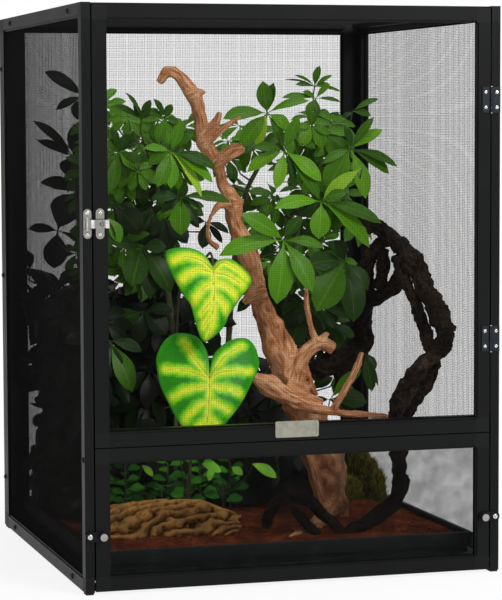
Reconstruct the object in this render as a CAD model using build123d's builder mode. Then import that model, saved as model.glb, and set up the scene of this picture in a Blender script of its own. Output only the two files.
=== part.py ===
"""A screen terrarium: aluminium cabinet, hinged mesh door, drop-down window and a planted tray.

Frame of the part: X to the right, Y to the back, Z up, in millimetres. The origin is under
the middle of the part's box, on the surface it stands on. The front plane is at y = FRONT,
and depths into the cabinet are written as FRONT + depth.
"""

import os
from math import cos, radians, sin

from build123d import *

os.makedirs("parts", exist_ok=True)

# ------------------------------------------------------------------ driving dimensions
WIDTH = 450.0  # outside of the cabinet, left to right
DEPTH = 450.0  # front plane to back plane
HEIGHT = 600.0
HARDWARE_OUT = 12.0  # how far the latch lever stands out of the front plane
HEAD_OUT = 2.0  # how far a screw head stands out of a side

WALL = 1.3  # aluminium extrusion
SLIP = 0.25  # gap between a corner spigot and the extrusion it sits in
LIP = 2.0  # lip in front of a mesh or a pane, seen round every opening
LIP_BACK = 1.5  # how far the lip is set back from the face of its bar
LIP_THICK = 1.5

BAR_DEEP = 9.5  # cabinet bars, through the panel
POST_WIDE = 14.0  # front posts, along the side
REAR_LEG_SIDE = 25.0  # rear posts, leg along the side
REAR_LEG_BACK = 27.0  # rear posts, leg along the back
TOP_TALL = 13.0  # top bars without their lip
BASE_TALL = 13.0  # base bars without their lip
FOOT = 2.0  # rubber pads under the posts
CORNER_TALL = 16.0  # moulded corner blocks at both ends of the posts

DOOR_DEEP = 8.0
STILE = 13.5  # door bars without their lip
KEY = STILE + LIP  # moulded door corners are square and cover the lips
DOOR_GAP = 1.5  # beside the doors
UPPER_LOW, UPPER_HIGH = 150.5, 598.0  # mesh door, lower and upper edge
LOWER_LOW, LOWER_HIGH = 3.0, 149.5  # window door

NET_THICK = 0.5
NET_STRIP = 2.0  # one strip of the coarse net stands for many fine wires
BEAD_WIDE, BEAD_DEEP = 2.2, 2.0  # rubber bead that holds a mesh or a pane

PANE_THICK = 2.0
TRAY_TALL, TRAY_WALL = 21.7, 2.0
SOIL_TOP = 33.0

HINGE_TALL, HINGE_LEAF, HINGE_THICK = 27.0, 8.3, 1.2
KNUCKLE_R, PIN_R = 1.7, 0.8
HINGE_HEIGHTS = (250.0, 502.0)
PIVOT_DEPTH, PIVOT_Z, PIVOT_R = 4.0, 13.5, 2.0  # window door pins
PIVOT_IN = 6.0  # how far a pin sits in its corner block
PIVOT_BORE = 8.0  # how deep the door is drilled for it
PIVOT_REACH = 7.0  # how far the pin reaches into the door

LATCH_Z = 378.0
LATCH_TALL = 30.0
CLIP_Z, CLIP_TALL, CLIP_THICK = 60.0, 10.5, 2.0
CLIP_GAP = 0.3

# ------------------------------------------------------------------ places worked out
FRONT = (HARDWARE_OUT - DEPTH) / 2
BACK = FRONT + DEPTH
HALF = WIDTH / 2
INNER = HALF - BAR_DEEP  # inside face of the side panels
DOOR_HALF = INNER - DOOR_GAP
POST_LOW, POST_HIGH = FOOT + CORNER_TALL, HEIGHT - CORNER_TALL
TOP_BODY = HEIGHT - TOP_TALL  # underside of the top bars
BASE_BODY = FOOT + BASE_TALL  # upper side of the base bars
NET_BACK = LIP_BACK + LIP_THICK  # a net lies straight behind the lips
BEAD_BACK = NET_BACK + NET_THICK
KNUCKLE_X = INNER - DOOR_GAP / 2
KNUCKLE_Y = FRONT - KNUCKLE_R - 0.2
STILE_MID = DOOR_HALF - STILE / 2
CLIP_PIVOT = HALF - BAR_DEEP / 2
SCREW_IN = 66.0  # side screws, from the corners of the cabinet
REAR_SCREW_IN = 8.0  # screws in the rear posts, from the back
REAR_SCREW_HEIGHTS = (60.0, 300.0, 542.0)
FRONT_SCREW_Z = 138.0  # the one screw in each front post
SCREW_R, SCREW_LONG = 1.5, 7.0
HEAD_R, HEAD_ROUND = 3.0, 1.2
FLOOR_TOP = 17.0


def keep(piece, name):
    """Label a finished piece and write its file."""
    piece.part.label = name
    export_step(piece.part, f"parts/{name}.step")


# ------------------------------------------------------------------ profiles
def bar_profile(wide, deep, lip=LIP):
    """Hollow extrusion seen end on: x runs to the opening, y into the panel."""
    Rectangle(wide, deep, align=(Align.MIN, Align.MIN))
    with Locations((WALL, WALL)):
        Rectangle(wide - 2 * WALL, deep - 2 * WALL, align=(Align.MIN, Align.MIN), mode=Mode.SUBTRACT)
    if lip:
        with Locations((wide, LIP_BACK)):
            Rectangle(lip, LIP_THICK, align=(Align.MIN, Align.MIN))


def spigot_profile(wide, deep):
    """The rod that fills an extrusion's bore with a little play."""
    inset = WALL + SLIP
    with Locations((inset, inset)):
        Rectangle(wide - 2 * inset, deep - 2 * inset, align=(Align.MIN, Align.MIN))


def bar_plane(corner, to_opening, into_panel):
    """Plane of a bar's end: x to the opening, y into the panel, so z runs along the bar."""
    along = Vector(to_opening).cross(Vector(into_panel))
    return Plane(origin=corner, x_dir=to_opening, z_dir=along)


def slab(x0, x1, y0, y1, z0, z1, mode=Mode.ADD):
    """A block between two corners."""
    with Locations(((x0 + x1) / 2, (y0 + y1) / 2, (z0 + z1) / 2)):
        Box(x1 - x0, y1 - y0, z1 - z0, mode=mode)


def rod(centre, direction, radius, length, mode=Mode.ADD):
    """A round rod from a point along a direction."""
    with Locations(Plane(origin=centre, z_dir=direction)):
        Cylinder(radius, length, align=(Align.CENTER, Align.CENTER, Align.MIN), mode=mode)


def net(plane, wide, tall, columns, rows):
    """One sheet with a grid of openings, its corner at the plane's origin."""
    pitch_x = (wide - NET_STRIP) / columns
    pitch_y = (tall - NET_STRIP) / rows
    with BuildSketch(plane) as sheet:
        with Locations((wide / 2, tall / 2)):
            Rectangle(wide, tall)
            with GridLocations(pitch_x, pitch_y, columns, rows):
                Rectangle(pitch_x - NET_STRIP, pitch_y - NET_STRIP, mode=Mode.SUBTRACT)
    extrude(sheet.sketch, amount=NET_THICK)


def bead(plane, wide, tall):
    """A rectangular ring of rubber bead inside an opening, its corner at the plane's origin."""
    with BuildSketch(plane) as ring:
        with Locations((wide / 2, tall / 2)):
            Rectangle(wide, tall)
            Rectangle(wide - 2 * BEAD_WIDE, tall - 2 * BEAD_WIDE, mode=Mode.SUBTRACT)
    extrude(ring.sketch, amount=BEAD_DEEP)


def limb(points):
    """A tapering branch through (x, depth, z, radius) points, mitred at each bend."""
    places = [Vector(x, FRONT + depth, z) for x, depth, z, _ in points]
    runs = [(after - before).normalized() for before, after in zip(places, places[1:])]
    across = runs[0].cross(Vector(0.3, 0.2, 1))
    sections = []
    for number, (place, point) in enumerate(zip(places, points)):
        along = runs[max(number - 1, 0)] + runs[min(number, len(runs) - 1)]
        across = across - along * (across.dot(along) / along.dot(along))
        with BuildSketch(Plane(origin=place, x_dir=across, z_dir=along)) as section:
            Circle(point[3])
        sections.append(section.sketch)
    loft(sections, ruled=True)


# ------------------------------------------------------------------ screws in the sides
side_screws = [(SCREW_IN, HEIGHT - TOP_TALL / 2), (DEPTH - SCREW_IN, HEIGHT - TOP_TALL / 2)]
side_screws += [(SCREW_IN, FOOT + BASE_TALL / 2), (DEPTH - SCREW_IN, FOOT + BASE_TALL / 2)]
side_screws += [(DEPTH - REAR_SCREW_IN, z) for z in REAR_SCREW_HEIGHTS]
side_screws += [(POST_WIDE / 2, FRONT_SCREW_Z)]


def screw_holes():
    """Holes for every screw of the left side."""
    for depth, z in side_screws:
        rod((-HALF, FRONT + depth, z), (1, 0, 0), SCREW_R, BAR_DEEP, mode=Mode.SUBTRACT)


with BuildPart() as cabinet_screws:
    for depth, z in side_screws:
        rod((-HALF + SCREW_LONG, FRONT + depth, z), (-1, 0, 0), SCREW_R, SCREW_LONG)
        with BuildSketch(Plane(origin=(-HALF, FRONT + depth, z), z_dir=(-1, 0, 0))) as head_foot:
            Circle(HEAD_R)
        extrude(amount=HEAD_OUT)
    fillet(cabinet_screws.faces().filter_by(Axis.X).group_by(Axis.X)[0].edges(), radius=HEAD_ROUND)
    mirror(cabinet_screws.part, about=Plane.YZ)
keep(cabinet_screws, "cabinet_screws")

# ------------------------------------------------------------------ posts
with BuildPart() as front_posts:
    with BuildSketch(bar_plane((-HALF, FRONT, POST_HIGH), (0, 1, 0), (1, 0, 0))):
        bar_profile(POST_WIDE, BAR_DEEP)
    extrude(amount=POST_HIGH - POST_LOW)
    screw_holes()
    mirror(front_posts.part, about=Plane.YZ)
keep(front_posts, "front_posts")


def rear_angle():
    """The rear post's angle section, outer corner at the origin, legs along +x and -y."""
    Polygon(
        (0, 0),
        (REAR_LEG_BACK, 0),
        (REAR_LEG_BACK, -BAR_DEEP),
        (BAR_DEEP, -BAR_DEEP),
        (BAR_DEEP, -REAR_LEG_SIDE),
        (0, -REAR_LEG_SIDE),
        align=None,
    )


with BuildPart() as rear_posts:
    with BuildSketch(Plane(origin=(-HALF, BACK, POST_LOW))):
        rear_angle()
        offset(amount=-WALL, kind=Kind.INTERSECTION, mode=Mode.SUBTRACT)
        with Locations((LIP_BACK + LIP_THICK / 2, -REAR_LEG_SIDE - LIP / 2)):
            Rectangle(LIP_THICK, LIP)
        with Locations((REAR_LEG_BACK + LIP / 2, -LIP_BACK - LIP_THICK / 2)):
            Rectangle(LIP, LIP_THICK)
    extrude(amount=POST_HIGH - POST_LOW)
    screw_holes()
    mirror(rear_posts.part, about=Plane.YZ)
keep(rear_posts, "rear_posts")

# ------------------------------------------------------------------ rails of the sides
SIDE_START, SIDE_END = FRONT + POST_WIDE, BACK - REAR_LEG_SIDE
with BuildPart() as side_top_rails:
    with BuildSketch(bar_plane((-HALF, SIDE_END, HEIGHT), (0, 0, -1), (1, 0, 0))):
        bar_profile(TOP_TALL, BAR_DEEP)
    extrude(amount=SIDE_END - SIDE_START)
    screw_holes()
    mirror(side_top_rails.part, about=Plane.YZ)
keep(side_top_rails, "side_top_rails")

with BuildPart() as side_base_rails:
    with BuildSketch(bar_plane((-HALF, SIDE_START, FOOT), (0, 0, 1), (1, 0, 0))):
        bar_profile(BASE_TALL, BAR_DEEP)
    extrude(amount=SIDE_END - SIDE_START)
    screw_holes()
    mirror(side_base_rails.part, about=Plane.YZ)
keep(side_base_rails, "side_base_rails")

# ------------------------------------------------------------------ rails of the back and front
BACK_HALF = HALF - REAR_LEG_BACK
with BuildPart() as rear_top_rail:
    with BuildSketch(bar_plane((BACK_HALF, BACK, HEIGHT), (0, 0, -1), (0, -1, 0))):
        bar_profile(TOP_TALL, BAR_DEEP)
    extrude(amount=2 * BACK_HALF)
keep(rear_top_rail, "rear_top_rail")

with BuildPart() as rear_base_rail:
    with BuildSketch(bar_plane((-BACK_HALF, BACK, FOOT), (0, 0, 1), (0, -1, 0))):
        bar_profile(BASE_TALL, BAR_DEEP)
    extrude(amount=2 * BACK_HALF)
keep(rear_base_rail, "rear_base_rail")

HEADER_BACK = 11.0  # the header and the crossbar are set back behind the doors
BASE_BAR_BACK = 17.0  # the base bar leaves room for the window door's heel to swing
with BuildPart() as front_header_rail:
    with BuildSketch(bar_plane((-INNER, FRONT + HEADER_BACK, HEIGHT), (0, 0, -1), (0, 1, 0))):
        bar_profile(TOP_TALL, BAR_DEEP, lip=0)
    extrude(amount=2 * INNER)
keep(front_header_rail, "front_header_rail")

CROSSBAR_LOW, CROSSBAR_HIGH = 137.0, 167.0
with BuildPart() as door_crossbar:
    with BuildSketch(bar_plane((-INNER, FRONT + HEADER_BACK, CROSSBAR_HIGH), (0, 0, -1), (0, 1, 0))):
        bar_profile(CROSSBAR_HIGH - CROSSBAR_LOW, BAR_DEEP, lip=0)
    extrude(amount=2 * INNER)
keep(door_crossbar, "door_crossbar")

with BuildPart() as front_base_rail:
    with BuildSketch(bar_plane((INNER, FRONT + BASE_BAR_BACK, FOOT), (0, 0, 1), (0, 1, 0))):
        bar_profile(BASE_TALL, BAR_DEEP, lip=0)
    extrude(amount=2 * INNER)
keep(front_base_rail, "front_base_rail")

# ------------------------------------------------------------------ corner blocks and feet
SPIGOT_POST, SPIGOT_SIDE, SPIGOT_BACK = 20.0, 70.0, 20.0


def front_block(z0, post_from, post_along, rail_corner, rail_inward, rail_tall):
    """A front corner: a block, a spigot in the post and one in the side rail."""
    slab(-HALF, -INNER, FRONT, SIDE_START, z0, z0 + CORNER_TALL)
    with BuildSketch(bar_plane((-HALF, FRONT, post_from), (0, 1, 0), (1, 0, 0))) as in_post:
        spigot_profile(POST_WIDE, BAR_DEEP)
    extrude(in_post.sketch, amount=post_along)
    with BuildSketch(bar_plane((-HALF, SIDE_START, rail_corner), rail_inward, (1, 0, 0))) as in_rail:
        spigot_profile(rail_tall, BAR_DEEP)
    extrude(in_rail.sketch, amount=SPIGOT_SIDE * (1 if rail_inward[2] > 0 else -1))


def rear_block(z0, spigot_z, spigot_along):
    """A rear corner: an angle block and a spigot in the post."""
    with BuildSketch(Plane(origin=(-HALF, BACK, z0))) as block:
        rear_angle()
    extrude(block.sketch, amount=CORNER_TALL)
    with BuildSketch(Plane(origin=(-HALF, BACK, spigot_z))) as in_post:
        with Locations((BAR_DEEP / 2, -BAR_DEEP / 2)):
            Rectangle(BAR_DEEP - 2 * (WALL + SLIP), BAR_DEEP - 2 * (WALL + SLIP))
    extrude(in_post.sketch, amount=spigot_along)


with BuildPart() as top_corner_blocks:
    front_block(POST_HIGH, POST_HIGH, SPIGOT_POST, HEIGHT, (0, 0, -1), TOP_TALL)
    rear_block(POST_HIGH, POST_HIGH, -SPIGOT_POST)
    screw_holes()
    mirror(top_corner_blocks.part, about=Plane.YZ)
keep(top_corner_blocks, "top_corner_blocks")

with BuildPart() as base_corner_blocks:
    front_block(FOOT, POST_LOW, -SPIGOT_POST, FOOT, (0, 0, 1), BASE_TALL)
    rear_block(FOOT, POST_LOW, SPIGOT_POST)
    screw_holes()
    rod((-INNER - PIVOT_IN, FRONT + PIVOT_DEPTH, PIVOT_Z), (1, 0, 0), PIVOT_R, PIVOT_IN, mode=Mode.SUBTRACT)
    mirror(base_corner_blocks.part, about=Plane.YZ)
keep(base_corner_blocks, "base_corner_blocks")

PAD_WIDE, FRONT_PAD, REAR_PAD = 8.0, 12.0, 20.0
with BuildPart() as foot_pads:
    for pad_x in (-HALF + BAR_DEEP / 2, HALF - BAR_DEEP / 2):
        for pad_y, pad_long in ((FRONT + POST_WIDE / 2, FRONT_PAD), (BACK - REAR_LEG_SIDE / 2, REAR_PAD)):
            slab(pad_x - PAD_WIDE / 2, pad_x + PAD_WIDE / 2,
                 pad_y - pad_long / 2, pad_y + pad_long / 2, 0, FOOT)
keep(foot_pads, "foot_pads")

# ------------------------------------------------------------------ nets of the cabinet
SIDE_LONG = SIDE_END - SIDE_START
SIDE_HIGH = TOP_BODY - BASE_BODY
ACROSS, UPWARD = 14, 20  # openings of the coarse net in a wall
TOP_OPENINGS = 16
DOOR_ACROSS, DOOR_UPWARD = 16, 17
with BuildPart() as left_screen:
    net(Plane(origin=(-HALF + NET_BACK, SIDE_START, BASE_BODY), x_dir=(0, 1, 0), z_dir=(1, 0, 0)),
        SIDE_LONG, SIDE_HIGH, ACROSS, UPWARD)
keep(left_screen, "left_screen")

with BuildPart() as right_screen:
    mirror(left_screen.part, about=Plane.YZ)
keep(right_screen, "right_screen")

with BuildPart() as rear_screen:
    net(Plane(origin=(-BACK_HALF, BACK - NET_BACK, BASE_BODY), x_dir=(1, 0, 0), z_dir=(0, -1, 0)),
        2 * BACK_HALF, SIDE_HIGH, ACROSS, UPWARD)
keep(rear_screen, "rear_screen")

TOP_FRONT = FRONT + HEADER_BACK + BAR_DEEP
TOP_FRAME_LOW, TOP_FRAME_HIGH = HEIGHT - 8.0, HEIGHT - 3.0
TOP_FRAME_WIDE = 11.0
TOP_NET_IN = 2.0  # the top net ends this far inside the edge of its frame
with BuildPart() as top_screen_frame:
    slab(-INNER, INNER, TOP_FRONT, BACK - BAR_DEEP, TOP_FRAME_LOW, TOP_FRAME_HIGH)
    slab(-INNER + TOP_FRAME_WIDE, INNER - TOP_FRAME_WIDE, TOP_FRONT + TOP_FRAME_WIDE,
         BACK - BAR_DEEP - TOP_FRAME_WIDE, TOP_FRAME_LOW, TOP_FRAME_HIGH, mode=Mode.SUBTRACT)
    for corner_x in (-1, 1):
        slab(min(corner_x * INNER, corner_x * BACK_HALF), max(corner_x * INNER, corner_x * BACK_HALF),
             BACK - REAR_LEG_SIDE, BACK, TOP_FRAME_LOW, HEIGHT, mode=Mode.SUBTRACT)
keep(top_screen_frame, "top_screen_frame")

with BuildPart() as top_screen:
    net(Plane(origin=(-INNER + TOP_NET_IN, TOP_FRONT + TOP_NET_IN, TOP_FRAME_HIGH)),
        2 * (INNER - TOP_NET_IN), BACK - REAR_LEG_SIDE - TOP_FRONT - 2 * TOP_NET_IN,
        TOP_OPENINGS, TOP_OPENINGS)
keep(top_screen, "top_screen")

with BuildPart() as screen_beads:
    bead(Plane(origin=(-HALF + BEAD_BACK, SIDE_START, BASE_BODY), x_dir=(0, 1, 0), z_dir=(1, 0, 0)),
         SIDE_LONG, SIDE_HIGH)
    mirror(screen_beads.part, about=Plane.YZ)
    bead(Plane(origin=(-BACK_HALF, BACK - BEAD_BACK, BASE_BODY), x_dir=(1, 0, 0), z_dir=(0, -1, 0)),
         2 * BACK_HALF, SIDE_HIGH)
keep(screen_beads, "screen_beads")

# ------------------------------------------------------------------ floor and tray
with BuildPart() as floor_panel:
    slab(-INNER, INNER, FRONT + BASE_BAR_BACK, BACK - BAR_DEEP, BASE_BODY, FLOOR_TOP)
    for corner_x in (-1, 1):
        slab(min(corner_x * INNER, corner_x * BACK_HALF), max(corner_x * INNER, corner_x * BACK_HALF),
             BACK - REAR_LEG_SIDE, BACK, BASE_BODY, FLOOR_TOP, mode=Mode.SUBTRACT)
keep(floor_panel, "floor_panel")

TRAY_HALF = 208.0
TRAY_FRONT = FRONT + BASE_BAR_BACK + BAR_DEEP + 2.5
TRAY_BACK = BACK - REAR_LEG_SIDE - 2.0
TRAY_RIM = 4.0  # the rolled rim stands out this far from the wall
TRAY_RIM_TALL = 14.0
TRAY_ROUND, RIM_ROUND = 3.0, 1.2
TRAY_TOP = FLOOR_TOP + TRAY_TALL


def tray_inside():
    """Outline of the space inside the tray's walls."""
    with Locations((0, (TRAY_FRONT + TRAY_BACK) / 2)):
        RectangleRounded(2 * (TRAY_HALF - TRAY_RIM - TRAY_WALL),
                         TRAY_BACK - TRAY_FRONT - 2 * (TRAY_RIM + TRAY_WALL), TRAY_ROUND)


with BuildPart() as substrate_tray:
    slab(-TRAY_HALF, TRAY_HALF, TRAY_FRONT, TRAY_BACK, TRAY_TOP - TRAY_RIM_TALL, TRAY_TOP)
    slab(-TRAY_HALF + TRAY_RIM, TRAY_HALF - TRAY_RIM, TRAY_FRONT + TRAY_RIM, TRAY_BACK - TRAY_RIM,
         FLOOR_TOP, TRAY_TOP)
    fillet(substrate_tray.edges().filter_by(Axis.Z), radius=TRAY_ROUND)
    fillet(substrate_tray.faces().sort_by(Axis.Z)[-1].edges(), radius=RIM_ROUND)
    with BuildSketch(Plane.XY.offset(FLOOR_TOP + TRAY_WALL)):
        tray_inside()
    extrude(amount=TRAY_TALL, mode=Mode.SUBTRACT)
keep(substrate_tray, "substrate_tray")

# ------------------------------------------------------------------ wood and climbing stem
DRIFTWOOD_LIMBS = (
    # the trunk, from the crooked tip to the foot
    ((-85, 240, 523, 4.5), (-75, 238, 536, 6), (-65, 236, 532, 6.5), (-57, 235, 523, 7),
     (-46, 231, 506, 8.5), (-41, 227, 484, 7), (-40, 226, 471, 8.5), (-37, 225, 457, 9.5),
     (-26, 222, 436, 8), (-20, 221, 424, 6), (-18, 220, 411, 6), (-7, 218, 390, 10.5), (-4, 217, 366, 9),
     (9, 216, 337, 10.5), (15, 215, 319, 10), (18, 214, 302, 10), (26, 213, 271, 12.5),
     (35, 212, 252, 14.5), (44, 211, 229, 16.5), (53, 210, 206, 17), (62, 209, 180, 17.5),
     (74, 207, 150, 18.5), (88, 203, 116, 19), (98, 198, 76, 18), (102, 194, 26, 15.5)),
    # short broken forks near the top
    ((-37, 222, 462, 5.5), (-30, 219, 473, 5.5), (-24, 217, 483, 4.5), (-22, 216, 491, 3.5)),
    ((-43, 220, 456, 4.5), (-31, 216, 462, 4), (-20, 213, 471, 3.5), (-9, 210, 480, 3), (1, 208, 485, 2)),
    ((-27, 221, 432, 6.5), (-17, 216, 440, 7.5), (-6, 212, 447, 7), (3, 208, 452, 6)),
    ((-9, 216, 393, 8), (4, 210, 390, 3.5)),
    # thin hanging twig
    ((-12, 216, 388, 5.5), (-23, 212, 388, 4.5), (-33, 210, 377, 2.5), (-38, 209, 361, 2.5),
     (-36, 208, 348, 3), (-26, 208, 340, 3.5)),
    # right fork with its twigs
    ((58, 205, 183, 12.5), (63, 201, 204, 10.5), (70, 198, 218, 9), (81, 195, 229, 7.5), (92, 192, 231, 7),
     (103, 190, 225, 7.5)),
    ((86, 194, 232, 5.5), (96, 190, 244, 3)),
    ((84, 194, 233, 4.5), (77, 192, 249, 3.5), (72, 190, 268, 3.5), (70, 188, 283, 3), (70, 187, 297, 2)),
    # root that leaves to the left and runs on to the right
    ((6, 186, 198, 5), (17, 185, 192, 8.5), (35, 182, 181, 10), (53, 177, 170, 9), (71, 170, 163, 7),
     (95, 163, 157, 4.5), (128, 156, 154, 3.5), (158, 150, 151, 2.5)),
    ((46, 196, 182, 12.5), (63, 190, 172, 10), (87, 184, 163, 6.5)),
    ((94, 160, 162, 4), (100, 157, 175, 4), (110, 153, 194, 4), (117, 150, 210, 4), (122, 148, 225, 3)),
    # strand and roots at the foot
    ((71, 190, 114, 4), (77, 188, 94, 4.5), (83, 186, 73, 5), (89, 184, 50, 5.5)),
    ((94, 184, 46, 11), (71, 150, 35, 8.5), (40, 112, 31, 7), (20, 90, 30, 4)),
)
with BuildPart() as driftwood:
    for branch in DRIFTWOOD_LIMBS:
        limb(branch)
keep(driftwood, "driftwood")

LIANA_LIMBS = (
    # the outer strand, from the coil down to the soil
    ((150, 216, 358, 7), (161, 213, 361, 8), (178, 205, 346, 9.5), (186, 192, 338, 10),
     (190, 178, 326, 11), (194, 164, 312, 11), (196, 148, 296, 10.5), (198, 130, 282, 10.5),
     (199, 112, 268, 10.5), (200, 95, 254, 10), (195, 82, 242, 9.5), (182, 70, 230, 9), (167, 64, 221, 9),
     (153, 60, 210, 9.5), (146, 62, 197, 9.5), (139, 66, 182, 9.5), (135, 72, 166, 9.5), (138, 80, 146, 9),
     (142, 86, 123, 8.5), (145, 90, 100, 8), (147, 94, 80, 8.5), (140, 97, 62, 8.5), (123, 98, 50, 8.5),
     (102, 98, 39, 8), (86, 98, 30, 7)),
    # the inner strand beside it
    ((179, 186, 326, 8), (180, 174, 306, 7), (181, 160, 292, 6.5), (184, 146, 276, 6.5),
     (185, 130, 260, 6.5), (185, 112, 244, 7), (184, 96, 230, 7.5), (182, 84, 217, 8), (174, 80, 201, 8),
     (165, 82, 186, 8), (157, 86, 172, 8), (151, 92, 157, 8), (151, 98, 141, 7), (149, 100, 125, 6)),
    # the ring of the coil
    ((177, 214, 347, 8), (166, 220, 338, 8), (156, 224, 326, 8.5), (152, 226, 308, 8.5),
     (154, 227, 290, 9), (163, 226, 277, 8.5), (176, 221, 285, 8.5), (185, 214, 296, 8.5),
     (189, 204, 311, 8), (181, 192, 326, 8)),
    # from the coil to the left, behind the wood
    ((158, 234, 280, 8.5), (156, 236, 262, 8.5), (155, 238, 243, 9), (155, 238, 227, 10),
     (140, 238, 216, 11), (124, 238, 208, 12), (107, 238, 199, 12), (90, 238, 195, 9)),
    ((128, 244, 202, 9), (130, 246, 186, 8.5), (134, 246, 170, 7)),
    # the arch over the roots
    ((87, 92, 29, 6), (72, 96, 43, 6.5), (59, 104, 57, 6.5), (47, 114, 68, 6.5), (32, 122, 72, 6),
     (19, 128, 65, 6), (10, 132, 52, 5.5), (6, 134, 36, 5.5)),
)
with BuildPart() as liana:
    for branch in LIANA_LIMBS:
        limb(branch)
keep(liana, "liana")

# ------------------------------------------------------------------ cork bark hide
BARK_R, BARK_THICK = 44.0, 7.0
BARK_LEFT, BARK_RIGHT, BARK_DEPTH, BARK_LOW = -176.0, -26.0, 152.0, 26.0
with BuildPart() as cork_bark:
    bark_end = (BARK_LEFT, FRONT + BARK_DEPTH, BARK_LOW)
    with BuildSketch(Plane(origin=bark_end, x_dir=(0, 1, 0), z_dir=(1, 0, 0))):
        Circle(BARK_R)
        Circle(BARK_R - BARK_THICK, mode=Mode.SUBTRACT)
        with Locations((0, -BARK_R)):
            Rectangle(2 * BARK_R, 2 * BARK_R, mode=Mode.SUBTRACT)
    extrude(amount=BARK_RIGHT - BARK_LEFT)
keep(cork_bark, "cork_bark")

# ------------------------------------------------------------------ plants
# trunk-like stems of the umbrella plant, from the soil into the crown
STEMS = (
    ((-40, 300, 30, 4.5), (-44, 300, 150, 4), (-60, 290, 260, 3.5), (-72, 282, 350, 3), (-82, 268, 430, 2.4)),
    ((10, 320, 30, 4.5), (14, 318, 180, 4), (20, 312, 300, 3.4), (30, 300, 390, 2.8), (46, 270, 440, 2.2)),
    ((66, 300, 30, 4.5), (72, 300, 170, 4), (84, 300, 290, 3.4), (104, 300, 400, 2.8), (122, 302, 470, 2.2)),
    ((-150, 300, 30, 4), (-156, 300, 180, 3.6), (-164, 290, 320, 3), (-172, 280, 420, 2.4)),
)
# each leaf whorl: x, depth, z of its hub, radius, and the way its top looks
WHORLS = (
    (39, 240, 500, 40, (0.1, -0.7, 0.7)),
    (66, 190, 448, 38, (0.2, -0.8, 0.6)),
    (132, 300, 520, 28, (0.2, -0.5, 0.85)),
    (94, 175, 392, 42, (0.1, -0.85, 0.5)),
    (36, 144, 340, 42, (-0.1, -0.9, 0.45)),
    (98, 140, 306, 38, (0.1, -0.9, 0.4)),
    (-84, 190, 450, 44, (-0.1, -0.8, 0.6)),
    (-92, 262, 490, 38, (-0.2, -0.6, 0.8)),
    (-140, 210, 402, 36, (-0.4, -0.7, 0.6)),
    (-122, 236, 340, 34, (-0.3, -0.8, 0.5)),
    (-130, 240, 276, 34, (-0.3, -0.8, 0.5)),
    (150, 250, 466, 40, (0.3, -0.6, 0.75)),
    (184, 330, 488, 26, (0.4, -0.4, 0.8)),
    (178, 330, 425, 28, (0.4, -0.6, 0.7)),
    (134, 350, 396, 36, (0.2, -0.6, 0.75)),
    (-26, 330, 488, 34, (0.0, -0.5, 0.85)),
    (-120, 300, 206, 32, (-0.3, -0.8, 0.5)),
    (-96, 240, 160, 28, (-0.2, -0.8, 0.55)),
    (96, 345, 290, 34, (0.1, -0.8, 0.6)),
    (120, 340, 236, 30, (0.1, -0.8, 0.6)),
    (36, 370, 424, 34, (0.0, -0.6, 0.8)),
    (0, 375, 350, 36, (0.0, -0.6, 0.8)),
    (-66, 350, 400, 36, (-0.1, -0.6, 0.8)),
    (-186, 300, 505, 24, (-0.7, -0.3, 0.7)),
    (-186, 180, 468, 26, (-0.8, -0.3, 0.6)),
    (-188, 330, 400, 26, (-0.8, -0.3, 0.6)),
    (-188, 170, 350, 26, (-0.8, -0.3, 0.6)),
    (-188, 330, 290, 26, (-0.8, -0.3, 0.6)),
    (-188, 200, 250, 24, (-0.8, -0.3, 0.6)),
    (-188, 360, 190, 22, (-0.8, -0.3, 0.6)),
)
WHORL_SPREAD, WHORL_DROP = 0.92, 0.30  # the leaflets droop: a low cone under the hub
HUB_R = 3.0
STALK_R, STALK_SUNK = 1.2, 0.4  # how thick a leaf stalk is, and how deep it sits in its stem
STALK_PLACES = 16  # along each run of a stem, where a leaf stalk may leave it
STALKS_APART = 12.0  # between two stalks, on the stems
with BuildPart() as umbrella_leaves:
    for x, depth, z, radius, up in WHORLS:
        tall = WHORL_DROP * radius
        hub = Vector(x, FRONT + depth, z)
        with BuildSketch(Plane(origin=hub - Vector(up).normalized() * tall, z_dir=up)):
            Circle(WHORL_SPREAD * radius)
        with BuildSketch(Plane(origin=hub, z_dir=up)):
            Circle(HUB_R)
        loft()
keep(umbrella_leaves, "umbrella_leaves")


def stem_places():
    """Evenly spaced places on the stems, each with the stem's radius there."""
    for stem in STEMS:
        for low, high in zip(stem, stem[1:]):
            for number in range(1, STALK_PLACES + 1):
                x, depth, z, thick = (a + (b - a) * number / STALK_PLACES for a, b in zip(low, high))
                yield Vector(x, FRONT + depth, z), thick


def leaf_stalk(x, depth, z, radius, up, taken):
    """A thin straight stalk from the closest free place on a stem to the underside of a whorl."""
    under = Vector(x, FRONT + depth, z) - Vector(up).normalized() * (WHORL_DROP * radius)
    free = [place for place in stem_places()
            if all((place[0] - joint).length > STALKS_APART for joint in taken)]
    joint, thick = min(free, key=lambda place: (place[0] - under).length)
    taken.append(joint)
    way = (under - joint).normalized()
    sunk = thick - STALK_SUNK
    rod(joint + way * sunk, way, STALK_R, (under - joint).length - sunk)


with BuildPart() as umbrella_stems:
    for stem in STEMS:
        limb(stem)
keep(umbrella_stems, "umbrella_stems")

with BuildPart() as leaf_stalks:
    stalk_joints = []
    for whorl in WHORLS:
        leaf_stalk(*whorl, stalk_joints)
keep(leaf_stalks, "leaf_stalks")

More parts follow.
